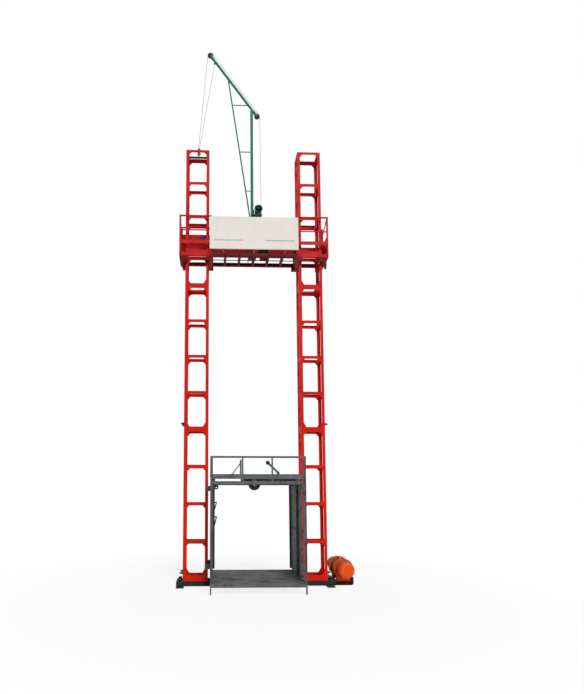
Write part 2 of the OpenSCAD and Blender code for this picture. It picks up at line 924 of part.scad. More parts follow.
// A block between the channels that a stop bolt slides through
module stop_bush(x) {
    difference() {
        block([x, -cross_gap / 2, crossbeam_low], [x + bush_l, cross_gap / 2, crossbeam_top]);
        translate([x - overrun, 0, stop_z]) rotate([0, 90, 0])
            cylinder(d = stop_d + 2 * running_fit, h = bush_l + 2 * overrun);
    }
}

// Two ears on the crossbeam that hold the pin of the safety lever
module lever_lugs() {
    for (low = [lever_y - lever_t / 2 - slide_gap - lug_t, lever_y + lever_t / 2 + slide_gap]) {
        block([lever_x - lug_w / 2, low, crossbeam_top - channel_t],
              [lever_x + lug_w / 2, low + lug_t, lever_z]);
        pin_y([lever_x, lever_z], lug_w, low, low + lug_t);
    }
    pin_y([lever_x, lever_z], lever_pin_d, lever_y - lever_t / 2 - lug_t, lever_y + lever_t / 2 + lug_t);
}

module cage_crossbeam() {
    color(grey) {
        front_and_rear() {
            cross_channel();
            sheave_hanger();
        }
        rope_stay();
        left_and_right() for (x = [cage_hx - bush_l, cage_hx - bush_l - bush_set]) stop_bush(x);
        lever_lugs();
        corner_gusset();
    }
}

// The braced upright on the crossbeam
module rope_stay() {
    block([stay_x - stay_w / 2, lever_y - stay_w / 2, crossbeam_top - channel_t],
          [stay_x + stay_w / 2, lever_y + stay_w / 2, crossbeam_top + stay_rise]);
    rod([stay_foot_x, lever_y, crossbeam_top], [stay_x, lever_y, crossbeam_top + stay_join], stay_d);
    block([stay_foot_x - stay_d, lever_y - stay_d, crossbeam_top - channel_t],
          [stay_foot_x + stay_d, lever_y + stay_d, crossbeam_top + stay_d / 2]);
}

// The drilled gusset under the left end of the crossbeam
module corner_gusset() {
    edge = cage_post - cage_hx;
    translate([0, cross_gap / 2 + channel_t, 0]) rotate([90, 0, 0]) linear_extrude(channel_t) difference() {
        polygon([[edge, crossbeam_low], [edge, beam_low - gusset_drop],
                 [edge + gusset_reach, beam_low - gusset_lip], [edge + gusset_reach, beam_low],
                 [edge + gusset_neck, beam_high], [edge + gusset_neck, crossbeam_low]]);
        translate([edge + gusset_reach / 2, beam_low]) circle(d = gusset_hole_d);
    }
}

module cage_sheave_pin() {
    half = cross_gap / 2;
    color(dark_grey) {
        pin_y([0, cage_sheave_z], sheave_pin_d, -half, half);
        front_and_rear() pin_y([0, cage_sheave_z], sheave_pin_d + 2 * pin_head, -half - pin_head_t, -half);
    }
}

module cage_sheave() {
    color(dark_grey) translate([0, 0, cage_sheave_z]) sheave(cage_sheave_r, cage_sheave_w, sheave_pin_d);
}

module cage_guard_rail() {
    half = cage_hx - angle_t;
    rail_y = -cage_hy + angle_t;
    color(grey) {
        block([-half, rail_y, guard_top - guard_bar_h], [half, rail_y + guard_bar_w, guard_top]);
        block([-half, rail_y, beam_high + toe_rise], [half, rail_y + angle_t, beam_high + toe_rise + toe_h]);
        for (x = upright_xs)
            block([x - upright_w / 2, rail_y, beam_high],
                  [x + upright_w / 2, rail_y + angle_t, guard_top - guard_bar_h]);
    }
}

module cage_roof_plate() {
    web = cross_gap / 2 + channel_w;
    half = cage_hx - cage_post;
    color(dark_grey) {
        block([roof_x, web - roof_t, beam_high], [half, cage_hy - angle_t, beam_high + roof_t]);
        block([roof_x, web - roof_t, beam_high], [half, web, crossbeam_low]);
    }
}

module cage_landing_legs() {
    color(grey) left_and_right() front_and_rear()
        block([cage_hx - leg_w, -cage_hy, 0], [cage_hx, leg_w - cage_hy, leg_h]);
}

// Guide bracket on a cage wall: a plate, a boss with a fixed axle for a roller, and a cover over the roller
module cage_guide(z) {
    low_y = -roller_y - guide_rim;
    high_y = slide_gap + guide_cover_t - roller_y - guide_rim + 2 * guide_rim;
    cap_x = roller_x + roller_w + slide_gap;
    cap = cap_x + guide_t;
    block([cage_hx, low_y, z - guide_h / 2], [cage_hx + guide_t, high_y, z + guide_h / 2]);
    block([cage_hx, low_y, z - guide_h / 2], [cap, low_y + guide_cover_t, z + guide_h / 2]);
    block([cap_x, low_y, z - guide_h / 2], [cap, -face_y - guide_cover_t, z + guide_h / 2]);
    translate([0, -roller_y, z]) {
        rod([cage_hx, 0, 0], [roller_x - slide_gap, 0, 0], boss_d);
        rod([cage_hx, 0, 0], [cap + roller_head_t, 0, 0], roller_axle_d);
        rod([cap, 0, 0], [cap + roller_head_t, 0, 0], roller_head_d);
    }
}

module cage_guides() {
    color(grey) left_and_right() front_and_rear() for (z = [upper_roller_z, lower_roller_z]) cage_guide(z);
}

// The rollers on the left and right masts that share an axis
module roller_pair(side, z) {
    color(dark_grey) left_and_right()
        translate([roller_x, side * roller_y, z]) rotate([0, 90, 0]) difference() {
            cylinder(r = roller_r, h = roller_w);
            translate([0, 0, -overrun])
                cylinder(d = roller_axle_d + 2 * running_fit, h = roller_w + 2 * overrun);
        }
}

module upper_front_rollers() { roller_pair(-1, upper_roller_z); }
module upper_rear_rollers() { roller_pair(1, upper_roller_z); }
module lower_front_rollers() { roller_pair(-1, lower_roller_z); }
module lower_rear_rollers() { roller_pair(1, lower_roller_z); }

// A bolt that slides out of the crossbeam to hang the cage on a mast rung
module stop_bolt() {
    out = cage_hx + stop_proud;
    color(dark_grey) {
        rod([out - stop_len, 0, stop_z], [out, 0, stop_z], stop_d);
        rod([out - stop_len - knob_t, 0, stop_z], [out - stop_len, 0, stop_z], knob_d);
    }
}

module right_stop_bolt() { stop_bolt(); }
module left_stop_bolt() { mirror([1, 0, 0]) stop_bolt(); }

module safety_lever() {
    color(grey) translate([lever_x, lever_y + lever_t / 2, lever_z]) rotate([90, -180 + lever_angle, 0])
        linear_extrude(lever_t) difference() {
            union() {
                circle(d = lug_w);
                translate([0, -lever_w / 2]) square([lever_len, lever_w]);
                translate([lever_len, 0]) circle(d = lever_eye_d);
            }
            circle(d = lever_pin_d + 2 * running_fit);
            translate([lever_len, 0]) circle(d = lever_eye_hole_d);
        }
}

// Platform

module platform_beam() {
    color(red) difference() {
        block([-platform_reach, -beam_out_y, platform_z], [platform_reach, -beam_in_y, platform_top]);
        block([-platform_reach - overrun, platform_beam_t - beam_out_y, platform_z + platform_beam_t],
              [platform_reach + overrun, overrun - beam_in_y, platform_top - platform_beam_t]);
    }
}

module platform_front_beam() { platform_beam(); }
module platform_rear_beam() { mirror([0, 1, 0]) platform_beam(); }

module platform_joists() {
    reach = joist_count_half * joist_pitch;
    color(dark_red) {
        for (i = [-joist_count_half : joist_count_half])
            block([i * joist_pitch - platform_joist_w / 2, -beam_in_y, platform_z],
                  [i * joist_pitch + platform_joist_w / 2, beam_in_y, platform_top]);
        front_and_rear() block([-reach, -walk_bar_y - walk_bar_t / 2, platform_top - walk_bar_w],
                               [reach, walk_bar_t / 2 - walk_bar_y, platform_top]);
        rope_anchor();
        left_and_right() difference() {
            block([platform_reach - platform_joist_w, -beam_in_y, platform_z],
                  [platform_reach, beam_in_y, platform_top]);
            translate([side_rope_x, 0, platform_z - overrun])
                cylinder(d = rope_hole_d, h = platform_beam_h + 2 * overrun);
        }
    }
}

// The eye between the walk bars that the dead end of the hoist rope hangs from
module rope_anchor() {
    translate([-rope_drop_x, 0, platform_top]) {
        block([-anchor_t / 2, -walk_bar_y, -walk_bar_w], [anchor_t / 2, walk_bar_y, 0]);
        rotate([0, 0, 90]) difference() {
            union() {
                block([-anchor_eye_d / 2, -anchor_t / 2, -anchor_drop],
                      [anchor_eye_d / 2, anchor_t / 2, -walk_bar_w]);
                pin_y([0, -anchor_drop], anchor_eye_d, -anchor_t / 2, anchor_t / 2);
            }
            pin_y([0, -anchor_drop], anchor_eye_hole_d, -anchor_t / 2 - overrun, anchor_t / 2 + overrun);
        }
    }
}

// A guide beside one face of a mast at face_x; side is 1 where the mast lies towards +X of the face
module guide_arm(face_x, side, gap, drop) {
    arm_x = face_x - side * (gap + guide_arm_w);
    low_x = min(arm_x, arm_x + side * guide_arm_w);
    shoe_x = face_x - side * slide_gap;
    block([low_x, -beam_out_y, platform_z - drop], [low_x + guide_arm_w, -beam_in_y, platform_z]);
    block([min(arm_x, shoe_x), -beam_in_y, platform_z - shoe_low],
          [max(arm_x, shoe_x), post_leg - face_y, platform_z - shoe_low + shoe_h]);
    block([min(arm_x, face_x + side * post_leg), -beam_out_y, platform_z - shoe_low],
          [max(arm_x, face_x + side * post_leg), -face_y - slide_gap, platform_z - shoe_low + shoe_h]);
}

// The guides of the front, whose arms hang down as far as the three drops say
module guide_set(inner_drop, block_drop, outer_drop) {
    left_and_right() {
        guide_arm(mast_in, 1, inner_arm_gap, inner_drop);
        block([mast_in - inner_arm_gap - inner_block_w, -beam_out_y, platform_z - block_drop],
              [mast_in - inner_arm_gap, -beam_in_y, platform_z]);
        guide_arm(mast_out, -1, outer_arm_gap, outer_drop);
    }
}

module platform_guides() {
    color(dark_red) {
        guide_set(inner_arm_drop, inner_block_drop, outer_arm_drop);
        mirror([0, 1, 0]) guide_set(shoe_low, shoe_low, shoe_low);
    }
}

// Bars that stand on the platform and rest on a rung of each mast
lock_rung = ceil((platform_top - base_top) / bay_h);
lock_z = base_top + lock_rung * bay_h + rung_h / 2 + slide_gap;
module platform_lock_bars() {
    joist_x = joist_count_half * joist_pitch;
    color(dark_red) left_and_right() {
        block([joist_x - lock_w / 2, -lock_w / 2, platform_top],
              [joist_x + lock_w / 2, lock_w / 2, lock_z + lock_w]);
        block([joist_x - lock_w / 2, -lock_w / 2, lock_z],
              [mast_in + lock_reach, lock_w / 2, lock_z + lock_w]);
    }
}

// Guard rail and knee board from the end of the platform to the sign board
module platform_front_rails() {
    rail_y = -beam_out_y + top_rail_d / 2;
    rail_z = platform_top + rail_rise - top_rail_d / 2;
    mid_z = platform_top + mid_rail_rise;
    inner = sign_hx - sign_frame_w;
    outer = platform_reach - rail_post_w;
    color(red) left_and_right() {
        rod([inner, rail_y, mid_z], [outer, rail_y, mid_z], mid_rail_d);
        rod([inner, rail_y, rail_z], [outer, rail_y, rail_z], top_rail_d);
        block([inner, -beam_out_y, platform_top + knee_low],
              [outer, knee_t - beam_out_y, platform_top + knee_low + knee_h]);
        block([inner, knee_t - beam_out_y, platform_top],
              [sign_hx, knee_t - beam_out_y + rail_post_t, rail_z]);
        block([sign_hx - rail_post_t, knee_t - beam_out_y, platform_top],
              [sign_hx, -beam_in_y, rail_z]);
    }
    color(red) for (x = sign_frame_xs)
        block([x - sign_frame_w / 2, -beam_out_y, platform_top],
              [x + sign_frame_w / 2, sign_lip_t - beam_out_y, platform_top + sign_low + sign_h]);
}

module platform_rear_rails() {
    rail_y = beam_out_y - top_rail_d / 2;
    rail_z = platform_top + rail_rise - top_rail_d / 2;
    half = platform_reach - rail_post_w;
    color(red) {
        rod([-half, rail_y, rail_z], [half, rail_y, rail_z], top_rail_d);
        block([-half, beam_out_y - knee_t, platform_top + rear_board_low],
              [half, beam_out_y, platform_top + rear_board_low + rear_board_h]);
        for (x = [-sign_hx, -sign_frame_w / 2, sign_hx - sign_frame_w])
            block([x, beam_out_y - top_rail_d, platform_top],
                  [x + sign_frame_w, beam_out_y - knee_t, rail_z]);
        translate([0, beam_out_y - knee_t, platform_top + screen_low])
            block([-half, 0, 0], [sign_frame_w - sign_hx, screen_t, screen_h]);
    }
}

// The closed end of the platform: two posts, a panel and a sloping brace
module platform_end() {
    rail_z = platform_top + rail_rise - top_rail_d / 2;
    inner = platform_reach - rail_post_w;
    brace_x = platform_reach - rail_post_t - brace_d / 2;
    front_and_rear() {
        block([inner, -beam_out_y, platform_top],
              [platform_reach, rail_post_t - beam_out_y, platform_top + rail_rise]);
        block([platform_reach - rail_post_t, -beam_out_y, platform_top],
              [platform_reach, rail_post_w - beam_out_y, platform_top + rail_rise]);
    }
    block([platform_reach - rail_post_t, -beam_out_y, platform_top],
          [platform_reach, beam_out_y, platform_top + end_panel_rise]);
    rod([brace_x, rail_post_t - beam_out_y, rail_z],
        [brace_x, beam_out_y - rail_post_t, rail_z - brace_drop], brace_d);
}

module platform_ends() {
    color(red) left_and_right() platform_end();
}

// The sign board is fixed to the uprights and knee boards of the front rails
module sign_board() {
    front = -beam_out_y - sign_t;
    low = platform_top + sign_low;
    color("#E8E4DC") {
        block([-sign_hx, front, low], [sign_hx, front + sign_lip_t, low + sign_h]);
        for (z = [low, low + sign_h - sign_lip])
            block([-sign_hx, front, z], [sign_hx, -beam_out_y, z + sign_lip]);
        left_and_right() block([sign_hx - sign_lip, front, low], [sign_hx, -beam_out_y, low + sign_h]);
        for (x = sign_frame_xs)
            block([x - sign_frame_w / 2, front, low], [x + sign_frame_w / 2, -beam_out_y, low + sign_h]);
    }
}

// Two cheeks and a pin for a sheave at x, z, on a plate that lies on the platform from x0 to x1
module sheave_bracket(x, z, x0, x1) {
    inner = platform_sheave_w / 2 + cheek_gap;
    outer = inner + cheek_t;
    plate_y = walk_bar_y + walk_bar_t;
    block([x0, -plate_y, platform_top], [x1, plate_y, platform_top + bracket_plate_t]);
    front_and_rear() {
        block([x - cheek_w / 2, -outer, platform_top], [x + cheek_w / 2, -inner, z]);
        pin_y([x, z], cheek_w, -outer, -inner);
    }
    pin_y([x, z], platform_pin_d, -outer, outer);
}

module platform_sheave_brackets() {
    color(dark_red) {
        sheave_bracket(centre_sheave_x, centre_sheave_z, rope_drop_x + rope_hole_d,
                       joist_pitch + platform_joist_w / 2);
        difference() {
            sheave_bracket(side_sheave_x, side_sheave_z, side_sheave_x - cheek_w / 2,
                           platform_reach - rail_post_t);
            translate([side_rope_x, 0, platform_top - overrun])
                cylinder(d = rope_hole_d, h = bracket_plate_t + 2 * overrun);
        }
    }
}

module platform_centre_sheave() {
    color("#2C5C85") translate([centre_sheave_x, 0, centre_sheave_z])
        sheave(centre_sheave_r, platform_sheave_w, platform_pin_d);
}

module platform_side_sheave() {
    color("#2C5C85") translate([side_sheave_x, 0, side_sheave_z])
        sheave(side_sheave_r, platform_sheave_w, platform_pin_d);
}

// Jib

socket_top = platform_top + socket_plate_t + socket_h;

module jib_socket() {
    color(green) translate([jib_x, 0, platform_top]) difference() {
        union() {
            block([-socket_plate_w / 2, -socket_plate_w / 2, 0],
                  [socket_plate_w / 2, socket_plate_w / 2, socket_plate_t]);
            cylinder(d = socket_d, h = socket_plate_t + socket_h);
        }
        translate([0, 0, socket_plate_t]) cylinder(d = pole_d + 2 * running_fit, h = socket_h + overrun);
    }
}

// A point of the boom: the distance along it from the rear sheave
function on_boom(along) = [rear.x + boom_dir.x * along, 0, rear.y + boom_dir.y * along];
// A point on the strut at height z
function on_strut(z) =
    let (high = on_boom(strut_top_along), low = [jib_x, 0, strut_foot_z])
    low + (high - low) * (z - low.z) / (high.z - low.z);

// Where a rung between the strut and the pole ends; above the pole it ends on the boom
function rung_end(z) = [
    min(jib_x, rear.x + boom_dir.x / boom_dir.y * (z - rear.y)), 0, z
];

// The fork that holds a sheave at one end of the boom; towards is 1 where the boom lies above it
module boom_fork(along, towards) {
    inner = jib_sheave_w / 2 + slide_gap;
    translate(on_boom(along)) rotate([0, boom_angle, 0]) {
        front_and_rear() {
            block([-fork_w / 2, -inner - fork_t, min(0, towards * fork_len)],
                  [fork_w / 2, -inner, max(0, towards * fork_len)]);
            pin_y([0, 0], fork_w, -inner - fork_t, -inner);
        }
        block([-fork_w / 2, -inner - fork_t, towards * fork_len - fork_t / 2],
              [fork_w / 2, inner + fork_t, towards * fork_len + fork_t / 2]);
        pin_y([0, 0], jib_pin_d, -inner - fork_t, inner + fork_t);
    }
}

module jib_frame() {
    color(green) {
        translate([jib_x, 0, platform_top + socket_plate_t + slide_gap])
            cylinder(d = pole_d, h = on_boom(pole_top_along).z - platform_top - socket_plate_t - slide_gap);
        translate([jib_x, 0, socket_top + slide_gap]) cylinder(d = collar_d, h = collar_h);
        rod(on_boom(fork_len), on_boom(boom_len - fork_len), boom_d);
        boom_fork(0, 1);
        boom_fork(boom_len, -1);
        rod([jib_x, 0, strut_foot_z], on_boom(strut_top_along), strut_d);
        for (z = rung_zs) rod(on_strut(z), rung_end(z), rung_d);
        rod(on_boom(becket_along), becket_end, becket_d);
    }
}

module jib_tip_sheave() {
    color("#4A1F1C") translate(on_boom(boom_len)) sheave(jib_sheave_r, jib_sheave_w, jib_pin_d);
}

module jib_rear_sheave() {
    color("#4A1F1C") translate(on_boom(0)) sheave(jib_sheave_r, jib_sheave_w, jib_pin_d);
}

// Side plates of the hand winch on a bracket that is fixed to the pole
module hand_winch_frame() {
    inner = hand_drum_w / 2 + hand_flange_t + hand_side_gap;
    outer = inner + hand_side_t;
    low = hand_z - hand_base_drop;
    color("#14503F") difference() {
        union() {
            front_and_rear() {
                block([hand_x - hand_plate_w / 2, -outer, low], [hand_x + hand_plate_w / 2, -inner, hand_z]);
                pin_y([hand_x, hand_z], hand_plate_w, -outer, -inner);
            }
            block([jib_x, -outer, low - hand_base_t], [hand_x + hand_winch_d / 2, outer, low]);
            block([jib_x + pole_d / 2, -outer, low], [jib_x + pole_d / 2 + hand_side_t, outer, hand_z]);
        }
        translate([jib_x, 0, low - hand_base_t - overrun]) cylinder(d = pole_d, h = hand_winch_d * 2);
        pin_y([hand_x, hand_z], hand_shaft_d + 2 * running_fit, -outer - overrun, outer + overrun);
    }
}

module hand_winch_drum() {
    inner = hand_drum_w / 2 + hand_flange_t + hand_side_gap;
    outer = inner + hand_side_t;
    crank_y = outer + crank_gap;
    color(dark_grey) {
        pin_y([hand_x, hand_z], hand_core_d, -hand_drum_w / 2, hand_drum_w / 2);
        front_and_rear()
            pin_y([hand_x, hand_z], hand_winch_d, -hand_drum_w / 2 - hand_flange_t, -hand_drum_w / 2);
        pin_y([hand_x, hand_z], hand_shaft_d, -outer, crank_y + crank_t);
        block([hand_x - crank_w / 2, crank_y, hand_z - crank_w / 2],
              [hand_x + crank_w / 2, crank_y + crank_t, hand_z + crank_len]);
        pin_y([hand_x, hand_z + crank_len - crank_w / 2], crank_grip_d,
              crank_y, crank_y + crank_t + crank_grip_l);
    }
}

// The side of two circles in the XZ plane that a common tangent touches, as a unit vector
function tangent_side(a, ra, b, rb, turn) =
    let (d = b - a, lean = atan2(d.y, d.x) + turn * acos((ra - rb) / norm(d)))
    [cos(lean), sin(lean)];
function raised(p) = [p.x, 0, p.y];

// Rope from the hand winch up to the rear sheave, along the boom and over the tip sheave
hand_at = [hand_x, hand_z];
lift_side = tangent_side(hand_at, hand_pitch_r, rear, jib_pitch_r, -1);
boom_side = tangent_side(rear, jib_pitch_r, tip, jib_pitch_r, -1);
fall_ends = [for (s = [-1, 1]) raised(hook_at + [s * fall_spread / 2, fall_socket_l])];
fall_side = tangent_side([fall_ends[0].x, fall_ends[0].z], 0, tip, jib_pitch_r, 1);
becket_way = fall_ends[1] - on_boom(becket_along);
becket_end = on_boom(becket_along) + becket_len * becket_way / norm(becket_way);

// Rings of the rope about a sheave at middle, from one side to another
function jib_wrap(middle, from, to) =
    let (start = atan2(from.y, from.x), turn = atan2(to.y, to.x) - start)
    [for (i = [0 : wrap_rings])
        let (a = start + turn * i / wrap_rings)
        [raised(middle + jib_pitch_r * [cos(a), sin(a)]), [cos(a), 0, sin(a)]]];
jib_route = concat(
    [[raised(hand_at + hand_pitch_r * lift_side), raised(lift_side)]],
    jib_wrap(rear, lift_side, boom_side),
    jib_wrap(tip, boom_side, fall_side)
);

module jib_rope_run() {
    color(rope_grey) polyhedron(
        [for (ring = jib_route) each tube_ring(ring[0], ring[1], jib_rope_d / 2)],
        tube_faces(len(jib_route) - 1)
    );
}

// The two falls from the tip sheave and the becket to the hook block
module jib_rope_falls() {
    color(rope_grey) {
        rod(raised(tip + jib_pitch_r * fall_side), fall_ends[0] + [0, 0, fall_gap], jib_rope_d);
        rod(becket_end, fall_ends[1] + [0, 0, fall_gap], jib_rope_d);
    }
}

// Hook block with two rope sockets and its hook
module jib_hook() {
    middle = raised(hook_at);
    color(base_black) {
        pin_y(hook_at, 2 * block_r, -block_w / 2, block_w / 2);
        for (end = fall_ends) rod([end.x, 0, middle.z], end, fall_socket_d);
        rod([middle.x, 0, hook_low + 2 * hook_r], middle, hook_d);
        translate([middle.x, 0, hook_low + hook_r + hook_d / 2]) rotate([90, 0, 0]) rotate([0, 0, 90])
            rotate_extrude(angle = 270) translate([hook_r, 0]) circle(d = hook_d);
    }
}

base_front_beam();
base_rear_beam();
base_cross_members();
ground_plates();
left_mast_lower();
left_mast_middle();
left_mast_upper();
right_mast_lower();
right_mast_middle();
right_mast_upper();
mast_bolts();
lifting_bar();
winch_skid();
winch_frame();
winch_tie_bars();
winch_gear_cover();
winch_motor();
winch_fan_cover();
winch_drum();
winch_rope();
cage_floor_frame();
cage_floor_boards();
cage_left_wall();
cage_right_wall();
cage_top_beams();
cage_crossbeam();
cage_guard_rail();
cage_roof_plate();
cage_landing_legs();
cage_sheave();
cage_sheave_pin();
cage_guides();
upper_front_rollers();
upper_rear_rollers();
lower_front_rollers();
lower_rear_rollers();
left_stop_bolt();
right_stop_bolt();
safety_lever();
platform_front_beam();
platform_rear_beam();
platform_joists();
platform_guides();
platform_lock_bars();
platform_front_rails();
platform_rear_rails();
platform_ends();
sign_board();
platform_sheave_brackets();
platform_side_sheave();
platform_centre_sheave();
jib_socket();
jib_frame();
jib_tip_sheave();
jib_rear_sheave();
hand_winch_frame();
hand_winch_drum();
jib_rope_run();
jib_rope_falls();
jib_hook();
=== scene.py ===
"""Looks for a two-mast material hoist: weathered paint, wire rope, fasteners, camera and studio.

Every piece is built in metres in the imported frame's own axes and rides on one of its bodies.
"""

import logging
import math
from abc import ABC, abstractmethod
from dataclasses import dataclass, replace
from enum import Enum
from typing import Any, Iterable, Sequence

import bmesh
import bpy
from bmesh.types import BMesh, BMFace, BMVert
from bpy.types import Material, Mesh, Node, NodeSocket, NodeTree, Object
from mathutils import Matrix, Vector


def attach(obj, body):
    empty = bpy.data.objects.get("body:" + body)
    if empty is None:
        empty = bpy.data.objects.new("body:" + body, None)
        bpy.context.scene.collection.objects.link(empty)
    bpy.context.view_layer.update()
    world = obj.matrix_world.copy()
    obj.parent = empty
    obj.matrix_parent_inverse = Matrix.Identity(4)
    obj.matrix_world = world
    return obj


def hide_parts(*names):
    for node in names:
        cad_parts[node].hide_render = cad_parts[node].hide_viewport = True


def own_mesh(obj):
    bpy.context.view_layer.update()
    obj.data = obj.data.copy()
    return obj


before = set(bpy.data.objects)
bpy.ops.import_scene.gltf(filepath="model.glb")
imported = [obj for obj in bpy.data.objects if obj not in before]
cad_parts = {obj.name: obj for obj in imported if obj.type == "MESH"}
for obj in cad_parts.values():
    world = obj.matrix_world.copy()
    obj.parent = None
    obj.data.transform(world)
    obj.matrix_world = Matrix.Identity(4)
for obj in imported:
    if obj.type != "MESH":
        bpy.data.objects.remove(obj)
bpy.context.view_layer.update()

Point = tuple[float, float, float]
Row = tuple[float, ...]
Inputs = dict[str | int, Any]

LOG = logging.getLogger("hoist")
MM = 0.001
UP = Vector((0.0, 0.0, 1.0))
FRONT = Vector((0.0, -1.0, 0.0))
REAR = Vector((0.0, 1.0, 0.0))
SIDES = (-1.0, 1.0)
WHITE = (1.0, 1.0, 1.0, 1.0)
BAR_SIDES = 10
ROPE_SHARP_DEG = 80.0
CREST = "crest"

# The colour mix node numbers its sockets, since its data types share their names
MIX = {"data_type": "RGBA"}
FACTOR, COLOUR_A, COLOUR_B, COLOUR_OUT = 0, 6, 7, 2

# Values between which a layer of a finish comes in: cosines to an axis or to a face, and noise
# Turn of a face away from Y over which the painted light and shade of the sides comes in
SIDE_SHADING_TURN = (0.2, 0.85)
DUST_LIES = (0.35, 0.95)
EDGE_KNOCKED = (0.99, 0.85)
NOISE_SPAN = (0.3, 0.7)


class Body(Enum):
    """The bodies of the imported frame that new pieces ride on."""

    FRAME = "frame"
    CAGE = "cage"
    PLATFORM = "platform"
    WINCH_DRUM = "winch_drum"
    JIB = "jib"
    HAND_DRUM = "hand_winch_drum"
    HOOK = "hook"
    LEVER = "safety_lever"


class Slot(Enum):
    """The record's material slots; no new piece is given one here."""

    PLATFORM = "platform_red"
    BASE = "base_black"
    BOLT = "bolt_steel"
    WINCH = "winch_orange"
    ROPE = "rope"
    SIGN = "sign_white"
    JIB = "jib_green"
    HOOK = "hook_black"
    SHEAVE = "sheave_iron"


def linear(code: str) -> tuple[float, float, float, float]:
    """Turn an sRGB hex colour into linear values.

    Args:
        code: colour as #RRGGBB.

    Returns:
        Linear red, green and blue, and an alpha of one.
    """
    shares = [int(code[i : i + 2], 16) / 255 for i in (1, 3, 5)]
    red, green, blue = (s / 12.92 if s <= 0.04045 else ((s + 0.055) / 1.055) ** 2.4 for s in shares)
    return red, green, blue, 1.0


def feed(tree: NodeTree, node: Node, inputs: Inputs) -> None:
    """Set or link the sockets of a node.

    Args:
        tree: node tree that holds the node.
        node: node whose sockets are fed.
        inputs: socket name or number to a value, or to the node or socket it is linked from.
    """
    for key, value in inputs.items():
        if isinstance(value, Node):
            value = value.outputs[0]
        if isinstance(value, NodeSocket):
            tree.links.new(value, node.inputs[key])
        else:
            node.inputs[key].default_value = value


def add_node(
    tree: NodeTree, kind: str, settings: dict[str, Any] | None = None, inputs: Inputs | None = None
) -> Node:
    """Add one shader node with its settings and links.

    Args:
        tree: node tree that takes the node.
        kind: type name of the node.
        settings: attributes to set on it.
        inputs: socket name or number to a value, or to the node or socket it is linked from.

    Returns:
        The new node.
    """
    node = tree.nodes.new(kind)
    for key, value in (settings or {}).items():
        setattr(node, key, value)
    feed(tree, node, inputs or {})
    return node


@dataclass(frozen=True)
class Patches:
    """One colour over another in patches, where a noise lies between two values or above them."""

    size_mm: float
    low: float
    high: float
    amount: float = 1.0
    detail: float = 3.0
    rough: float = 0.5
    bend: float = 0.0

    def lay(
        self, tree: NodeTree, where: Node | NodeSocket, under: Any, over: str, mask: Node | None = None
    ) -> tuple[NodeSocket, NodeSocket]:
        """Add the nodes of the patches.

        Args:
            tree: node tree that takes them.
            where: node or socket of the coordinates.
            under: linear colour, or the socket of a colour, that is covered.
            over: colour of the patches as #RRGGBB.
            mask: node of a share that the patches are cut down by.

        Returns:
            The sockets of the mixed colour and of the noise.
        """
        noise = add_node(tree, "ShaderNodeTexNoise", {}, {
            "Vector": where, "Scale": 1 / (self.size_mm * MM), "Detail": self.detail,
            "Roughness": self.rough, "Distortion": self.bend}).outputs["Fac"]
        share = add_node(tree, "ShaderNodeMapRange", {}, {
            "Value": noise, "From Min": self.low, "From Max": self.high, "To Max": self.amount})
        if mask is not None:
            share = add_node(tree, "ShaderNodeMath", {"operation": "MULTIPLY"}, {0: share, 1: mask})
        mixed = add_node(tree, "ShaderNodeMix", MIX, {FACTOR: share, COLOUR_A: under, COLOUR_B: linear(over)})
        return mixed.outputs[COLOUR_OUT], noise


@dataclass(frozen=True)
class Finish(ABC):
    """What a piece is made of."""

    name: str

    def material(self) -> Material:
        """Make the material, on first use.

        Returns:
            The material that bears the finish's name.
        """
        if self.name not in bpy.data.materials:
            made = bpy.data.materials.new(self.name)
            made.use_nodes = True
            tree = made.node_tree
            feed(tree, tree.nodes["Principled BSDF"], self.sockets(tree))
        return bpy.data.materials[self.name]

    @abstractmethod
    def sockets(self, tree: NodeTree) -> Inputs:
        """Add the nodes of the finish.

        Args:
            tree: node tree that takes them.

        Returns:
            What feeds the shader's sockets.
        """


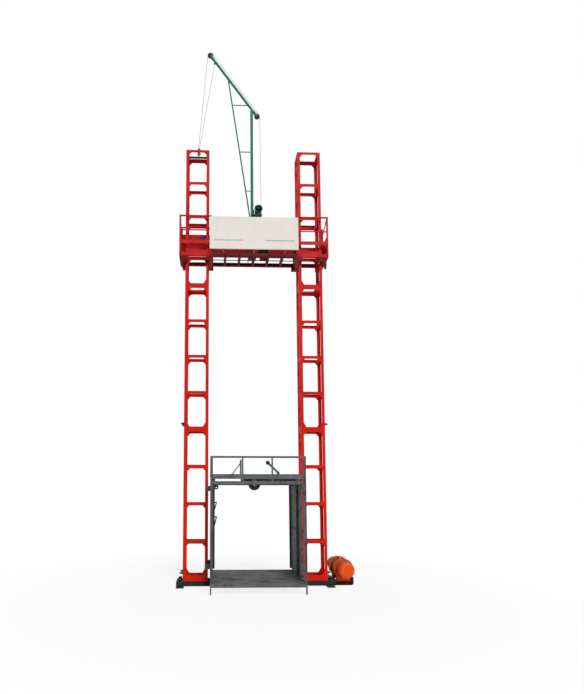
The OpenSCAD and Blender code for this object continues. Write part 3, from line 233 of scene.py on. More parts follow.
@dataclass(frozen=True)
class Enamel(Finish):
    """Alkyd enamel brushed or sprayed on rolled steel, weathered outdoors.

    The eye sees a satin colour that has faded in patches, rain streaks, dust on what faces up, and
    primer or rust where edges were knocked. A stretch about the middle along X may be darkened as a
    painted shadow, and faces that don't look along Y may take a tone of their own as painted light
    and shade.
    """

    colour: str
    shade: str
    grime: str = "#3A2A24"
    dust: str = "#A99C88"
    chip: str = "#5B3B2E"
    fade: float = 0.55
    streak: float = 0.22
    settled: float = 0.28
    wear: float = 0.75
    blotch: float = 0.0
    blotch_from: float = 0.56
    blotch_span: float = 0.08
    blotch_mm: float = 130.0
    roughness: float = 0.44
    gloss_dip: float = 0.07
    dull_rise: float = 0.14
    specular: float = 0.08
    # Colour of a painted shadow about the middle along X, with its half width and blend
    painted_shadow: str = ""
    shadow_half: float = 0.0
    shadow_blend: float = 0.09
    # Tone of faces that don't look along Y: painted light and shade by face direction
    side_shading: str = ""
    patch_mm: float = 380.0
    streak_mm: float = 45.0
    streak_len_mm: float = 900.0
    flake_mm: float = 60.0
    peel_mm: float = 14.0
    edge_mm: float = 4.0

    def sockets(self, tree: NodeTree) -> Inputs:
        """Add the nodes of the paint.

        Args:
            tree: node tree that takes them.

        Returns:
            What feeds the shader's sockets.
        """
        place = add_node(tree, "ShaderNodeTexCoord")
        here, normal = place.outputs["Object"], place.outputs["Normal"]
        faded = Patches(self.patch_mm, low=0.36, high=0.66, amount=self.fade, detail=5.0, rough=0.62)
        tone, patch = faded.lay(tree, here, linear(self.colour), self.shade)
        tone = self.lay_zones(tree, here, normal, tone)
        run_off = add_node(tree, "ShaderNodeMapping", {}, {
            "Vector": here, "Scale": (1.0, 1.0, self.streak_mm / self.streak_len_mm)})
        rain = Patches(self.streak_mm, low=0.5, high=0.74, amount=self.streak)
        stained, _ = rain.lay(tree, run_off, tone, self.grime)
        facing_up = add_node(tree, "ShaderNodeSeparateXYZ", {}, {0: normal}).outputs["Z"]
        lying = add_node(tree, "ShaderNodeMapRange", {}, {
            "Value": facing_up, "From Min": DUST_LIES[0], "From Max": DUST_LIES[1], "To Max": self.settled})
        top = add_node(tree, "ShaderNodeMix", MIX, {
            FACTOR: lying, COLOUR_A: stained, COLOUR_B: linear(self.dust)}).outputs[COLOUR_OUT]
        if self.blotch:
            scar = Patches(
                self.blotch_mm, self.blotch_from, self.blotch_from + self.blotch_span, self.blotch,
                detail=4.0, rough=0.7, bend=0.6)
            top, _ = scar.lay(tree, here, top, self.grime)
        edge = add_node(tree, "ShaderNodeBevel", {"samples": 4}, {"Radius": self.edge_mm * MM})
        flat = add_node(tree, "ShaderNodeNewGeometry").outputs["Normal"]
        lean = add_node(tree, "ShaderNodeVectorMath", {"operation": "DOT_PRODUCT"}, {0: edge, 1: flat})
        knocked = add_node(tree, "ShaderNodeMapRange", {}, {
            "Value": lean.outputs["Value"], "From Min": EDGE_KNOCKED[0], "From Max": EDGE_KNOCKED[1],
            "To Max": self.wear})
        flaked = Patches(self.flake_mm, low=0.47, high=0.58, detail=4.0, rough=0.7)
        colour, _ = flaked.lay(tree, here, top, self.chip, knocked)
        dull = add_node(tree, "ShaderNodeMapRange", {}, {
            "Value": patch, "From Min": NOISE_SPAN[0], "From Max": NOISE_SPAN[1],
            "To Min": self.roughness - self.gloss_dip, "To Max": self.roughness + self.dull_rise})
        peel = add_node(tree, "ShaderNodeTexNoise", {}, {
            "Vector": here, "Scale": 1 / (self.peel_mm * MM), "Detail": 2.0})
        bump = add_node(tree, "ShaderNodeBump", {}, {
            "Strength": 0.16, "Distance": 0.4 * MM, "Height": peel.outputs["Fac"], "Normal": edge})
        return {
            "Base Color": colour, "Roughness": dull, "Normal": bump, "Specular IOR Level": self.specular}

    def lay_zones(
        self, tree: NodeTree, here: NodeSocket, normal: NodeSocket, tone: NodeSocket
    ) -> NodeSocket:
        """Lay the painted shadow within its width along X, and the painted light and shade of the sides.

        Args:
            tree: node tree that takes the nodes.
            here: socket of the coordinates.
            normal: socket of the normal.
            tone: socket of the colour elsewhere.

        Returns:
            The socket of the colour with both laid in.
        """
        width = (self.shadow_half - self.shadow_blend, self.shadow_half + self.shadow_blend)
        zones = ((self.painted_shadow, here, "X", width), (self.side_shading, normal, "Y", SIDE_SHADING_TURN))
        for painted_tint, vector, axis, (low, high) in zones:
            if painted_tint:
                parts = add_node(tree, "ShaderNodeSeparateXYZ", {}, {0: vector})
                reach = add_node(tree, "ShaderNodeMath", {"operation": "ABSOLUTE"}, {0: parts.outputs[axis]})
                beyond = add_node(tree, "ShaderNodeMapRange", {"interpolation_type": "SMOOTHSTEP"}, {
                    "Value": reach, "From Min": low, "From Max": high})
                tone = add_node(tree, "ShaderNodeMix", MIX, {
                    FACTOR: beyond, COLOUR_A: linear(painted_tint), COLOUR_B: tone}).outputs[COLOUR_OUT]
        return tone


@dataclass(frozen=True)
class BareSteel(Finish):
    """Uncoated or thinly plated steel, turned or rolled: a grey metal with brown bloom and smears of oil."""

    colour: str
    bloom: str
    rust: float = 0.35
    roughness: float = 0.42
    gloss_dip: float = 0.1
    dull_rise: float = 0.2
    metallic: float = 0.9
    patch_mm: float = 60.0
    grain_mm: float = 4.0
    edge_mm: float = 1.5

    def sockets(self, tree: NodeTree) -> Inputs:
        """Add the nodes of the metal.

        Args:
            tree: node tree that takes them.

        Returns:
            What feeds the shader's sockets.
        """
        here = add_node(tree, "ShaderNodeTexCoord").outputs["Object"]
        browned = Patches(self.patch_mm, low=0.45, high=0.68, amount=self.rust, detail=5.0, rough=0.65)
        colour, patch = browned.lay(tree, here, linear(self.colour), self.bloom)
        dull = add_node(tree, "ShaderNodeMapRange", {}, {
            "Value": patch, "From Min": NOISE_SPAN[0], "From Max": NOISE_SPAN[1],
            "To Min": self.roughness - self.gloss_dip, "To Max": self.roughness + self.dull_rise})
        edge = add_node(tree, "ShaderNodeBevel", {"samples": 4}, {"Radius": self.edge_mm * MM})
        grain = add_node(tree, "ShaderNodeTexNoise", {}, {
            "Vector": here, "Scale": 1 / (self.grain_mm * MM), "Detail": 2.0})
        bump = add_node(tree, "ShaderNodeBump", {}, {
            "Strength": 0.15, "Distance": 0.2 * MM, "Height": grain.outputs["Fac"], "Normal": edge})
        return {"Base Color": colour, "Roughness": dull, "Normal": bump, "Metallic": self.metallic}


@dataclass(frozen=True)
class Strands(Finish):
    """Galvanised wire rope: pale crests of wire and dark greased valleys between the strands."""

    crest: str
    valley: str
    metallic: float = 0.6
    roughness: float = 0.5
    smear_mm: float = 90.0
    greased: float = 0.55

    def sockets(self, tree: NodeTree) -> Inputs:
        """Add the nodes of the rope, which read the crest attribute of its mesh.

        Args:
            tree: node tree that takes them.

        Returns:
            What feeds the shader's sockets.
        """
        crest = add_node(tree, "ShaderNodeAttribute", {"attribute_name": CREST})
        here = add_node(tree, "ShaderNodeTexCoord").outputs["Object"]
        grease = add_node(tree, "ShaderNodeTexNoise", {}, {
            "Vector": here, "Scale": 1 / (self.smear_mm * MM), "Detail": 3.0})
        smear = add_node(tree, "ShaderNodeMapRange", {}, {
            "Value": grease.outputs["Fac"], "From Min": 0.35, "From Max": 0.7, "To Min": 1.0,
            "To Max": self.greased})
        shown = add_node(tree, "ShaderNodeMath", {"operation": "MULTIPLY"}, {
            0: crest.outputs["Fac"], 1: smear})
        colour = add_node(tree, "ShaderNodeMix", MIX, {
            FACTOR: shown, COLOUR_A: linear(self.valley), COLOUR_B: linear(self.crest)})
        return {
            "Base Color": colour.outputs[COLOUR_OUT], "Metallic": self.metallic, "Roughness": self.roughness}


@dataclass(frozen=True)
class Planks(Finish):
    """Sawn softwood planks gone grey, trodden with cement dust and stained by wet loads."""

    colour: str
    grain: str
    dust: str
    stain: str
    grain_mm: float = 18.0
    run_mm: float = 420.0
    dust_mm: float = 70.0
    pool_mm: float = 150.0
    pool_squeeze: float = 0.5
    roughness: float = 0.85

    def sockets(self, tree: NodeTree) -> Inputs:
        """Add the nodes of the timber, whose grain runs along X.

        Args:
            tree: node tree that takes them.

        Returns:
            What feeds the shader's sockets.
        """
        here = add_node(tree, "ShaderNodeTexCoord").outputs["Object"]
        along, pool = (
            add_node(tree, "ShaderNodeMapping", {}, {"Vector": here, "Scale": (share, 1.0, 1.0)})
            for share in (self.grain_mm / self.run_mm, self.pool_squeeze))
        years = Patches(self.grain_mm, low=0.35, high=0.65, detail=6.0, rough=0.6)
        wood, fibre = years.lay(tree, along, linear(self.colour), self.grain)
        cement = Patches(self.dust_mm, low=0.45, high=0.68, amount=0.75, detail=4.0, bend=0.4)
        trodden, _ = cement.lay(tree, along, wood, self.dust)
        spill = Patches(self.pool_mm, low=0.50, high=0.63, amount=0.85)
        colour, _ = spill.lay(tree, pool, trodden, self.stain)
        bump = add_node(tree, "ShaderNodeBump", {}, {"Strength": 0.5, "Distance": 1.2 * MM, "Height": fibre})
        return {"Base Color": colour, "Normal": bump, "Roughness": self.roughness}


MAST_LOW = Enamel("red_enamel_lower", "#DE200C", "#BE180C")
MAST_MIDDLE = Enamel("red_enamel_middle", "#D81D10", "#B2160F")
MAST_HIGH = Enamel("red_enamel_upper", "#D0181E", "#A61218")
PLATFORM_RED = Enamel("platform_red_enamel", "#D02420", "#9A1719", wear=0.6)
# The front beam's middle is darkened where the sign shades it: a painted shadow.
PLATFORM_BEAM_SHADOWED = replace(PLATFORM_RED, name="platform_beam_painted_shadow", painted_shadow="#5A1214", shadow_half=0.92)
# A darker copy of the platform red for the members under the deck: painted shade.
PLATFORM_SHADED = Enamel("platform_painted_shade_enamel", "#701517", "#4A0C0F", settled=0.15)
CAGE_GREY = Enamel(
    "cage_grey_primer", "#666B6E", "#4B5054", grime="#33383B", dust="#8E8674", chip="#4A3A30",
    streak=0.3, settled=0.35, blotch=0.55, roughness=0.58, patch_mm=260.0)
# The side panels take a lighter grey than the fronts of the posts: painted light on faces that don't look
# along Y.
CAGE_WALL = Enamel(
    "cage_wall_primer", "#5A6065", "#43494E", grime="#262525", dust="#8E8674", chip="#6A4A36",
    streak=0.45, settled=0.35, blotch=0.6, blotch_from=0.53, roughness=0.6, side_shading="#8C8E8E",
    patch_mm=300.0, streak_mm=60.0)
BASE_BLACK = Enamel(
    "base_bitumen_paint", "#2E3331", "#1F2322", grime="#4A4034", dust="#6E6656", chip="#5A4636",
    streak=0.3, settled=0.3, roughness=0.55, patch_mm=200.0)
# The flanks take a darker orange than the faces along Y: painted shade.
WINCH_ORANGE = Enamel(
    "winch_orange_enamel", "#EE5A12", "#C8440C", grime="#4E1E0E", chip="#6B4A3A", fade=0.6, streak=0.3,
    settled=0.08, wear=0.45, roughness=0.4, specular=0.14, side_shading="#B23A10", patch_mm=160.0, peel_mm=9.0,
    edge_mm=3.0)
# Near-black red for the apron and stop block: painted shade at the front of the skid.
WINCH_PAINTED_SHADE = Enamel(
    "winch_painted_shade_enamel", "#4A1712", "#2C0D0B", grime="#1C0B09", chip="#6B4A3A", streak=0.3, settled=0.1,
    wear=0.4, edge_mm=3.0)
JIB_GREEN = Enamel(
    "jib_green_enamel", "#2B8474", "#1D6157", grime="#173A36", chip="#4E5A4A", roughness=0.4, patch_mm=220.0,
    edge_mm=2.0)
HAND_WINCH_GREEN = Enamel(
    "hand_winch_enamel", "#17594C", "#0E3C35", grime="#10211F", chip="#5A5A50", roughness=0.4, patch_mm=90.0,
    edge_mm=2.0)
SIGN_WHITE = Enamel(
    "sign_off_white_enamel", "#EAE6DE", "#DDD7CC", grime="#A79F92", dust="#CFC8BA", chip="#8A7A68",
    fade=0.4, streak=0.07, settled=0.2, wear=0.3, roughness=0.5, patch_mm=520.0, streak_mm=70.0)
SIGN_BAND = Enamel(
    "sign_band_enamel", "#B4B7C0", "#A4A8B4", grime="#8A8A90", fade=0.4, streak=0.1, settled=0.0, wear=0.2,
    roughness=0.5, patch_mm=120.0)
SHEAVE_IRON = Enamel(
    "sheave_oxide_primer", "#54241F", "#2E1512", grime="#1A100E", chip="#8C8780", streak=0.1, settled=0.1,
    roughness=0.5, patch_mm=70.0, edge_mm=3.0)
SHEAVE_DARK = replace(
    SHEAVE_IRON, name="sheave_dark_iron", colour="#2B2A2A", shade="#191818", grime="#100F0E", settled=0.15)
SHEAVE_BLUE = replace(
    SHEAVE_IRON, name="sheave_blue_enamel", colour="#2D6F9A", shade="#1E4F74", grime="#14222E", roughness=0.42)
ROLLER_STEEL = BareSteel("roller_turned_steel", "#77777A", "#5A4638", rust=0.5)
BOLT_STEEL = BareSteel("bolt_plated_steel", "#8C8A84", "#6B5644", rust=0.45, patch_mm=25.0)
DRUM_STEEL = BareSteel("drum_oiled_steel", "#56524E", "#4A382C", rust=0.4)
HOOK_BLACK = BareSteel("hook_black_forging", "#1E1F20", "#2C2522", rust=0.4, roughness=0.5, metallic=0.3)
WINCH_ROPE = Strands("winch_wire_rope", "#9A9084", "#3A332C")
JIB_ROPE = Strands("jib_wire_rope", "#8A90A4", "#454B60", metallic=0.3)
BOARDS = Planks("floor_grey_planks", "#646361", "#4D4D4C", "#7A7771", "#15191F")


def make_piece(
    name: str, shape: BMesh, finish: Finish, body: Body, sharp_deg: float = 35.0
) -> Object:
    """Turn a finished bmesh into a piece that rides on a body.

    Args:
        name: name of the piece.
        shape: mesh in the frame's axes; it is freed here.
        finish: what the piece is made of.
        body: body that it rides on.
        sharp_deg: edges that turn by more than this stay sharp.

    Returns:
        The new object, at the origin.
    """
    bmesh.ops.recalc_face_normals(shape, faces=shape.faces)
    mesh = bpy.data.meshes.new(name)
    shape.to_mesh(mesh)
    shape.free()
    mesh.shade_smooth()
    mesh.set_sharp_from_angle(angle=math.radians(sharp_deg))
    mesh.materials.append(finish.material())
    piece = bpy.data.objects.new(name, mesh)
    bpy.context.scene.collection.objects.link(piece)
    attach(piece, body.value)
    LOG.info("%s: %d faces on %s", name, len(mesh.polygons), body.value)
    return piece


def paint(finish: Finish, *nodes: str) -> None:
    """Give CAD nodes a finish.

    Args:
        finish: what the nodes are made of.
        nodes: names of the nodes.
    """
    for name in nodes:
        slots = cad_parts[name].data.materials
        slots.clear()
        slots.append(finish.material())
        LOG.info("%s: %s", name, finish.material().name)


def facing(at: Sequence[float], axis: Vector) -> Matrix:
    """Return the place of a shape whose Z axis is turned to an axis.

    Args:
        at: where its origin goes.
        axis: where its Z axis points.

    Returns:
        The matrix that puts it there.
    """
    return Matrix.Translation(Vector(at)) @ UP.rotation_difference(axis).to_matrix().to_4x4()


def add_rod(
    shape: BMesh, place: Matrix, radius: float, length: float, end_radius: float | None = None, sides: int = 20
) -> list[BMVert]:
    """Add a closed rod, which may taper.

    Args:
        shape: mesh that takes the rod.
        place: middle of the rod, which runs along the place's Z axis.
        radius: radius at its lower end.
        length: its length.
        end_radius: radius at its upper end, if that differs.
        sides: number of its sides.

    Returns:
        Its vertices.
    """
    return bmesh.ops.create_cone(
        shape, cap_ends=True, segments=sides, radius1=radius, radius2=end_radius or radius, depth=length,
        matrix=place)["verts"]


def round_edges(shape: BMesh, ends: Iterable[BMVert], radius: float, segments: int) -> None:
    """Round the edges that lie between some of a mesh's vertices.

    Args:
        shape: mesh that has the edges.
        ends: vertices that the edges run between.
        radius: radius of the rounding.
        segments: number of faces across it.
    """
    held = set(ends)
    edges = [e for e in shape.edges if held.issuperset(e.verts)]
    bmesh.ops.bevel(
        shape, geom=edges, offset=radius, offset_type="OFFSET", affect="EDGES", segments=segments, profile=0.5,
        material=-1)


@dataclass(frozen=True)
class HexHead:
    """A hexagon bolt head on a washer, sizes in metres."""

    across: float
    height: float
    washer: float
    washer_share: float = 0.22
    chamfer_share: float = 0.09

    def template(self) -> Mesh:
        """Shape one head, on first use.

        Returns:
            The mesh of a head that stands on the XY plane.
        """
        name = f"hex_head_{round(self.across / MM)}"
        if name in bpy.data.meshes:
            return bpy.data.meshes[name]
        shape = bmesh.new()
        thin = self.washer_share * self.height
        add_rod(shape, Matrix.Translation((0, 0, thin / 2)), self.washer / 2, thin, sides=16)
        middle = thin + self.height / 2
        corner_r = self.across / math.sqrt(3)
        head = add_rod(shape, Matrix.Translation((0, 0, middle)), corner_r, self.height, sides=6)
        crown = (v for v in head if v.co.z > middle)
        round_edges(shape, crown, self.chamfer_share * self.across, segments=1)
        made = bpy.data.meshes.new(name)
        shape.to_mesh(made)
        shape.free()
        return made

    def field(self, places: Sequence[Matrix]) -> BMesh:
        """Return one mesh with a head at each place.

        Args:
            places: where the heads stand, as facing() gives it.

        Returns:
            The mesh of all the heads.
        """
        shape = bmesh.new()
        for place in places:
            before = len(shape.verts)
            shape.from_mesh(self.template())
            shape.verts.ensure_lookup_table()
            bmesh.ops.transform(shape, matrix=place, verts=shape.verts[before:])
        return shape


def add_ring(shape: BMesh, place: Matrix, radius: float, tube: float, steps: int = 32) -> None:
    """Spin a round bar into a ring.

    Args:
        shape: mesh that takes the ring.
        place: middle of the ring, which lies square to the place's Z axis.
        radius: radius at the middle of the bar.
        tube: radius of the bar.
        steps: number of parts round the ring.
    """
    start = Matrix.Translation((radius, 0, 0)) @ Matrix.Rotation(math.pi / 2, 4, "X")
    made = bmesh.ops.create_circle(shape, segments=BAR_SIDES, radius=tube, matrix=place @ start)["verts"]
    edges = list({e for v in made for e in v.link_edges})
    bmesh.ops.spin(
        shape, geom=made + edges, cent=place.translation, axis=place.to_3x3() @ UP, angle=2 * math.pi,
        steps=steps, use_merge=True)


@dataclass(frozen=True)
class Block:
    """A box with rounded edges, given by its lowest and highest corners."""

    low: Point
    high: Point
    round_off: float


def block_mesh(*blocks: Block) -> BMesh:
    """Return one mesh of some boxes.

    Args:
        blocks: the boxes.

    Returns:
        The mesh of them all.
    """
    shape = bmesh.new()
    for block in blocks:
        low, high = Vector(block.low), Vector(block.high)
        place = Matrix.Translation((low + high) / 2) @ Matrix.Diagonal((*(high - low), 1))
        verts = bmesh.ops.create_cube(shape, size=1.0, matrix=place)["verts"]
        round_edges(shape, verts, block.round_off, segments=2)
    return shape


def spoke(turn: float) -> Vector:
    """Return the unit vector of the XZ plane at an angle from X."""
    return Vector((math.cos(turn), 0.0, math.sin(turn)))


@dataclass(frozen=True)
class RopeLay:
    """The make of a wire rope: strands laid in a long twist about each other."""

    diameter: float
    strands: int = 6
    lay_share: float = 6.5
    rings_a_lay: int = 8
    valley_share: float = 0.8

    def shape(self, route: Sequence[Vector]) -> BMesh:
        """Lay the rope along a route.

        Args:
            route: points of its middle, close together where it bends.

        Returns:
            A closed tube with a lobe for each strand, and the crest attribute on its vertices.
        """
        lay = self.lay_share * self.diameter
        middles = even_points(route, lay / self.rings_a_lay)
        shape = bmesh.new()
        crest = shape.verts.layers.float.new(CREST)
        sides = 2 * self.strands
        along = (middles[1] - middles[0]).normalized()
        across = along.orthogonal().normalized()
        rings: list[list[BMVert]] = []
        for i, middle in enumerate(middles):
            along = (middles[min(i + 1, len(middles) - 1)] - middles[max(i - 1, 0)]).normalized()
            across = (across - along * across.dot(along)).normalized()
            up = along.cross(across)
            ring = []
            for s in range(sides):
                turn = 2 * math.pi * (i / self.rings_a_lay + s / sides)
                reach = self.diameter / 2 * (1.0 if s % 2 == 0 else self.valley_share)
                vert = shape.verts.new(middle + reach * (math.cos(turn) * across + math.sin(turn) * up))
                vert[crest] = 1.0 - s % 2
                ring.append(vert)
            rings.append(ring)
        for first, second in zip(rings, rings[1:]):
            for s in range(sides):
                n = (s + 1) % sides
                shape.faces.new((first[s], first[n], second[n], second[s]))
        shape.faces.new(rings[0])
        shape.faces.new(rings[-1])
        return shape

    def piece(self, name: str, route: Sequence[Vector], finish: Finish, body: Body) -> Object:
        """Return a piece of the rope along a route, riding on a body."""
        return make_piece(name, self.shape(route), finish, body, ROPE_SHARP_DEG)


def even_points(route: Sequence[Vector], spacing: float) -> list[Vector]:
    """Spread points evenly along a route.

    Args:
        route: points of the route.
        spacing: wanted distance between the new points.

    Returns:
        The new points, from the first of the route to its last.
    """
    travelled = [0.0]
    for first, second in zip(route, route[1:]):
        travelled.append(travelled[-1] + (second - first).length)
    count = max(2, round(travelled[-1] / spacing))
    made, leg = [], 0
    for i in range(count + 1):
        distance = travelled[-1] * i / count
        while leg < len(route) - 2 and travelled[leg + 1] < distance:
            leg += 1
        share = (distance - travelled[leg]) / (travelled[leg + 1] - travelled[leg])
        made.append(route[leg].lerp(route[leg + 1], share))
    return made


@dataclass
class Base:
    """The base frame that the masts and the winch stand on."""

    web_y: float = 0.160
    web_zs: Row = (0.046, 0.094)
    member_xs: Row = (-1.530, -1.300, -1.070, 0.0, 1.070, 1.300, 1.560)
    head: HexHead = HexHead(across=0.018, height=0.009, washer=0.026)
    shoe: Block = Block((-1.555, -0.197, 0.020), (-1.420, -0.160, 0.116), 0.016)
    lug: Block = Block((-1.527, -0.152, 0.120), (-1.462, -0.100, 0.158), 0.006)

    def build(self) -> None:
        """Bolt the cross members to the webs and shoe the left end of the two channels."""
        places = [
            facing((x, side * self.web_y, z), REAR * side)
            for side in SIDES for x in self.member_xs for z in self.web_zs]
        make_piece("base_web_bolts", self.head.field(places), BASE_BLACK, Body.FRAME)
        shoes = block_mesh(self.shoe, self.lug)
        bmesh.ops.mirror(shoes, geom=[*shoes.verts, *shoes.edges, *shoes.faces], merge_dist=0.0, axis="Y")
        make_piece("base_end_shoes", shoes, BASE_BLACK, Body.FRAME)

    def dress(self) -> None:
        """Paint the base."""
        paint(BASE_BLACK, "base_front_beam", "base_rear_beam", "base_cross_members", "ground_plates")


@dataclass
class Masts:
    """The two masts of three bolted sections each."""

    outer_x: float = 1.430
    tie_y: float = 0.122
    tie_zs: Row = (0.272, 3.235)
    tie_stud_r: float = 0.017
    tie_stud_end_r: float = 0.0153
    tie_stud_l: float = 0.062
    tie_nut: HexHead = HexHead(across=0.046, height=0.026, washer=0.058)

    def build(self) -> None:
        """Add the studs for wall ties on the outer faces."""
        sides = [(Vector((side, 0, 0)), depth) for side in SIDES for depth in SIDES]
        feet = [
            (out * self.outer_x + REAR * depth * self.tie_y + UP * z, out)
            for out, depth in sides for z in self.tie_zs]
        shape = self.tie_nut.field([facing(at, out) for at, out in feet])
        for at, out in feet:
            middle = facing(at + out * self.tie_stud_l / 2, out)
            add_rod(shape, middle, self.tie_stud_r, self.tie_stud_l, self.tie_stud_end_r)
        make_piece("mast_tie_studs", shape, BASE_BLACK, Body.FRAME)

    def dress(self) -> None:
        """Paint the sections, which have faded more the higher they stand."""
        paint(MAST_LOW, "left_mast_lower", "right_mast_lower")
        paint(MAST_MIDDLE, "left_mast_middle", "right_mast_middle")
        paint(MAST_HIGH, "left_mast_upper", "right_mast_upper")
        paint(BOLT_STEEL, "mast_bolts")
        paint(HOOK_BLACK, "lifting_bar")


@dataclass
class Winch:
    """The electric winch at the foot of the right mast; its axis runs along Y."""

    axis_x: float = 1.770
    axis_y: float = 0.136
    axis_z: float = 0.328
    rope: RopeLay = RopeLay(diameter=0.011)
    winding_r: float = 0.1571
    rope_pitch: float = 0.012
    loops: int = 16
    lip_y: float = -0.238
    lip_bolt_r: float = 0.182
    lip_bolts: int = 8
    lip_head: HexHead = HexHead(across=0.015, height=0.009, washer=0.020)
    disc_y: float = 0.216
    disc_in_y: float = 0.126
    disc_r: float = 0.192
    bead_r: float = 0.009
    bead_steps: int = 72
    tie_r: float = 0.179
    tie_angles: Row = (90.0, 25.0, 335.0)
    tie_head: HexHead = HexHead(across=0.022, height=0.012, washer=0.030)
    eye_y: float = -0.227
    eye_foot_r: float = 0.193
    eye_rise: float = 0.033
    eye_r: float = 0.019
    eye_bar: float = 0.006
    neck_rise: float = 0.006
    neck_l: float = 0.014
    neck_r: float = 0.016
    neck_end_r: float = 0.011
    grille_y: float = 0.581
    grille_rs: Row = (0.022, 0.038, 0.054, 0.068)
    grille_bar: float = 0.0035
    spokes: int = 6
    spoke_r: float = 0.003
    spoke_l: float = 0.062
    spoke_middle: float = 0.037
    # A dark plate and block at the front of the skid, standing for shade: painted shade.
    shade_apron: Block = Block((1.594, -0.080, 0.020), (1.946, -0.072, 0.095), 0.002)
    stop: Block = Block((1.897, -0.126, 0.030), (1.955, -0.066, 0.180), 0.012)

    def around(self, radius: float, angle_deg: float, y: float) -> Vector:
        """Find a point about the axis.

        Args:
            radius: its distance from the axis.
            angle_deg: its angle from +X to +Z.
            y: its place along the axis, from the middle of the drum.

        Returns:
            The point.
        """
        turn = math.radians(angle_deg)
        middle = Vector((self.axis_x, self.axis_y, self.axis_z))
        return middle + Vector((radius * math.cos(turn), y, radius * math.sin(turn)))

    def winding_route(self) -> list[Vector]:
        """Wind the rope.

        Returns:
            Points of its middle, with straight ends of one diameter.
        """
        steps = 72
        tail = Vector((0, 0, self.rope.diameter))
        half = self.loops * self.rope_pitch / 2
        turns = [
            self.around(self.winding_r, 360 * k / steps, self.rope_pitch * k / steps - half)
            for k in range(self.loops * steps + 1)]
        return [turns[0] - tail, *turns, turns[-1] + tail]

    def build(self) -> None:
        """Wind the rope, and add bolts, beads, the lifting eye, the fan grille and the dark apron and stop
        block of painted shade.
        """
        rope = self.rope.piece("winch_wound_rope", self.winding_route(), WINCH_ROPE, Body.WINCH_DRUM)
        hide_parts("winch_rope")
        lip = [
            facing(self.around(self.lip_bolt_r, 360 * (i + 0.5) / self.lip_bolts, self.lip_y), FRONT)
            for i in range(self.lip_bolts)]
        make_piece("gear_cover_bolts", self.lip_head.field(lip), BOLT_STEEL, Body.FRAME)
        nuts = [facing(self.around(self.tie_r, a, self.disc_y), REAR) for a in self.tie_angles]
        make_piece("tie_bar_nuts", self.tie_head.field(nuts), BOLT_STEEL, Body.FRAME)
        self.build_beads()
        self.build_eye()
        self.build_grille()
        # Both blocks take the dark enamel of painted shade.
        shade_skirts = block_mesh(self.shade_apron, self.stop)
        make_piece("skid_shade_apron", shade_skirts, WINCH_PAINTED_SHADE, Body.FRAME)

    def build_beads(self) -> None:
        """Run a cast bead round both edges of the end frames."""
        shape = bmesh.new()
        for side in SIDES:
            for y in (self.disc_y - self.bead_r, self.disc_in_y + self.bead_r):
                place = facing(self.around(0, 0, side * y), REAR)
                add_ring(shape, place, self.disc_r, self.bead_r, self.bead_steps)
        make_piece("end_frame_beads", shape, WINCH_ORANGE, Body.FRAME)

    def build_eye(self) -> None:
        """Stand a lifting eye on the rim of the gear cover."""
        shape = bmesh.new()
        foot = self.around(self.eye_foot_r, 90, self.eye_y)
        neck = Matrix.Translation(foot + UP * self.neck_rise)
        add_rod(shape, neck, self.neck_r, self.neck_l, self.neck_end_r)
        add_ring(shape, facing(foot + UP * self.eye_rise, REAR), self.eye_r, self.eye_bar)
        make_piece("motor_lifting_eye", shape, WINCH_ORANGE, Body.FRAME)

    def build_grille(self) -> None:
        """Close the end of the fan cover with rings and spokes."""
        shape = bmesh.new()
        middle = self.around(0, 0, self.grille_y)
        for radius in self.grille_rs:
            add_ring(shape, facing(middle, REAR), radius, self.grille_bar)
        for i in range(self.spokes):
            turn = Matrix.Rotation(2 * math.pi * i / self.spokes, 4, "Y")
            place = Matrix.Translation(middle) @ turn @ Matrix.Translation((0, 0, self.spoke_middle))
            add_rod(shape, place, self.spoke_r, self.spoke_l, sides=8)
        make_piece("fan_cover_grille", shape, WINCH_ORANGE, Body.FRAME)

    def dress(self) -> None:
        """Paint the housing and leave the drum bare."""
        paint(
            WINCH_ORANGE, "winch_skid", "winch_frame", "winch_tie_bars", "winch_gear_cover", "winch_motor",
            "winch_fan_cover")
        paint(DRUM_STEEL, "winch_drum")


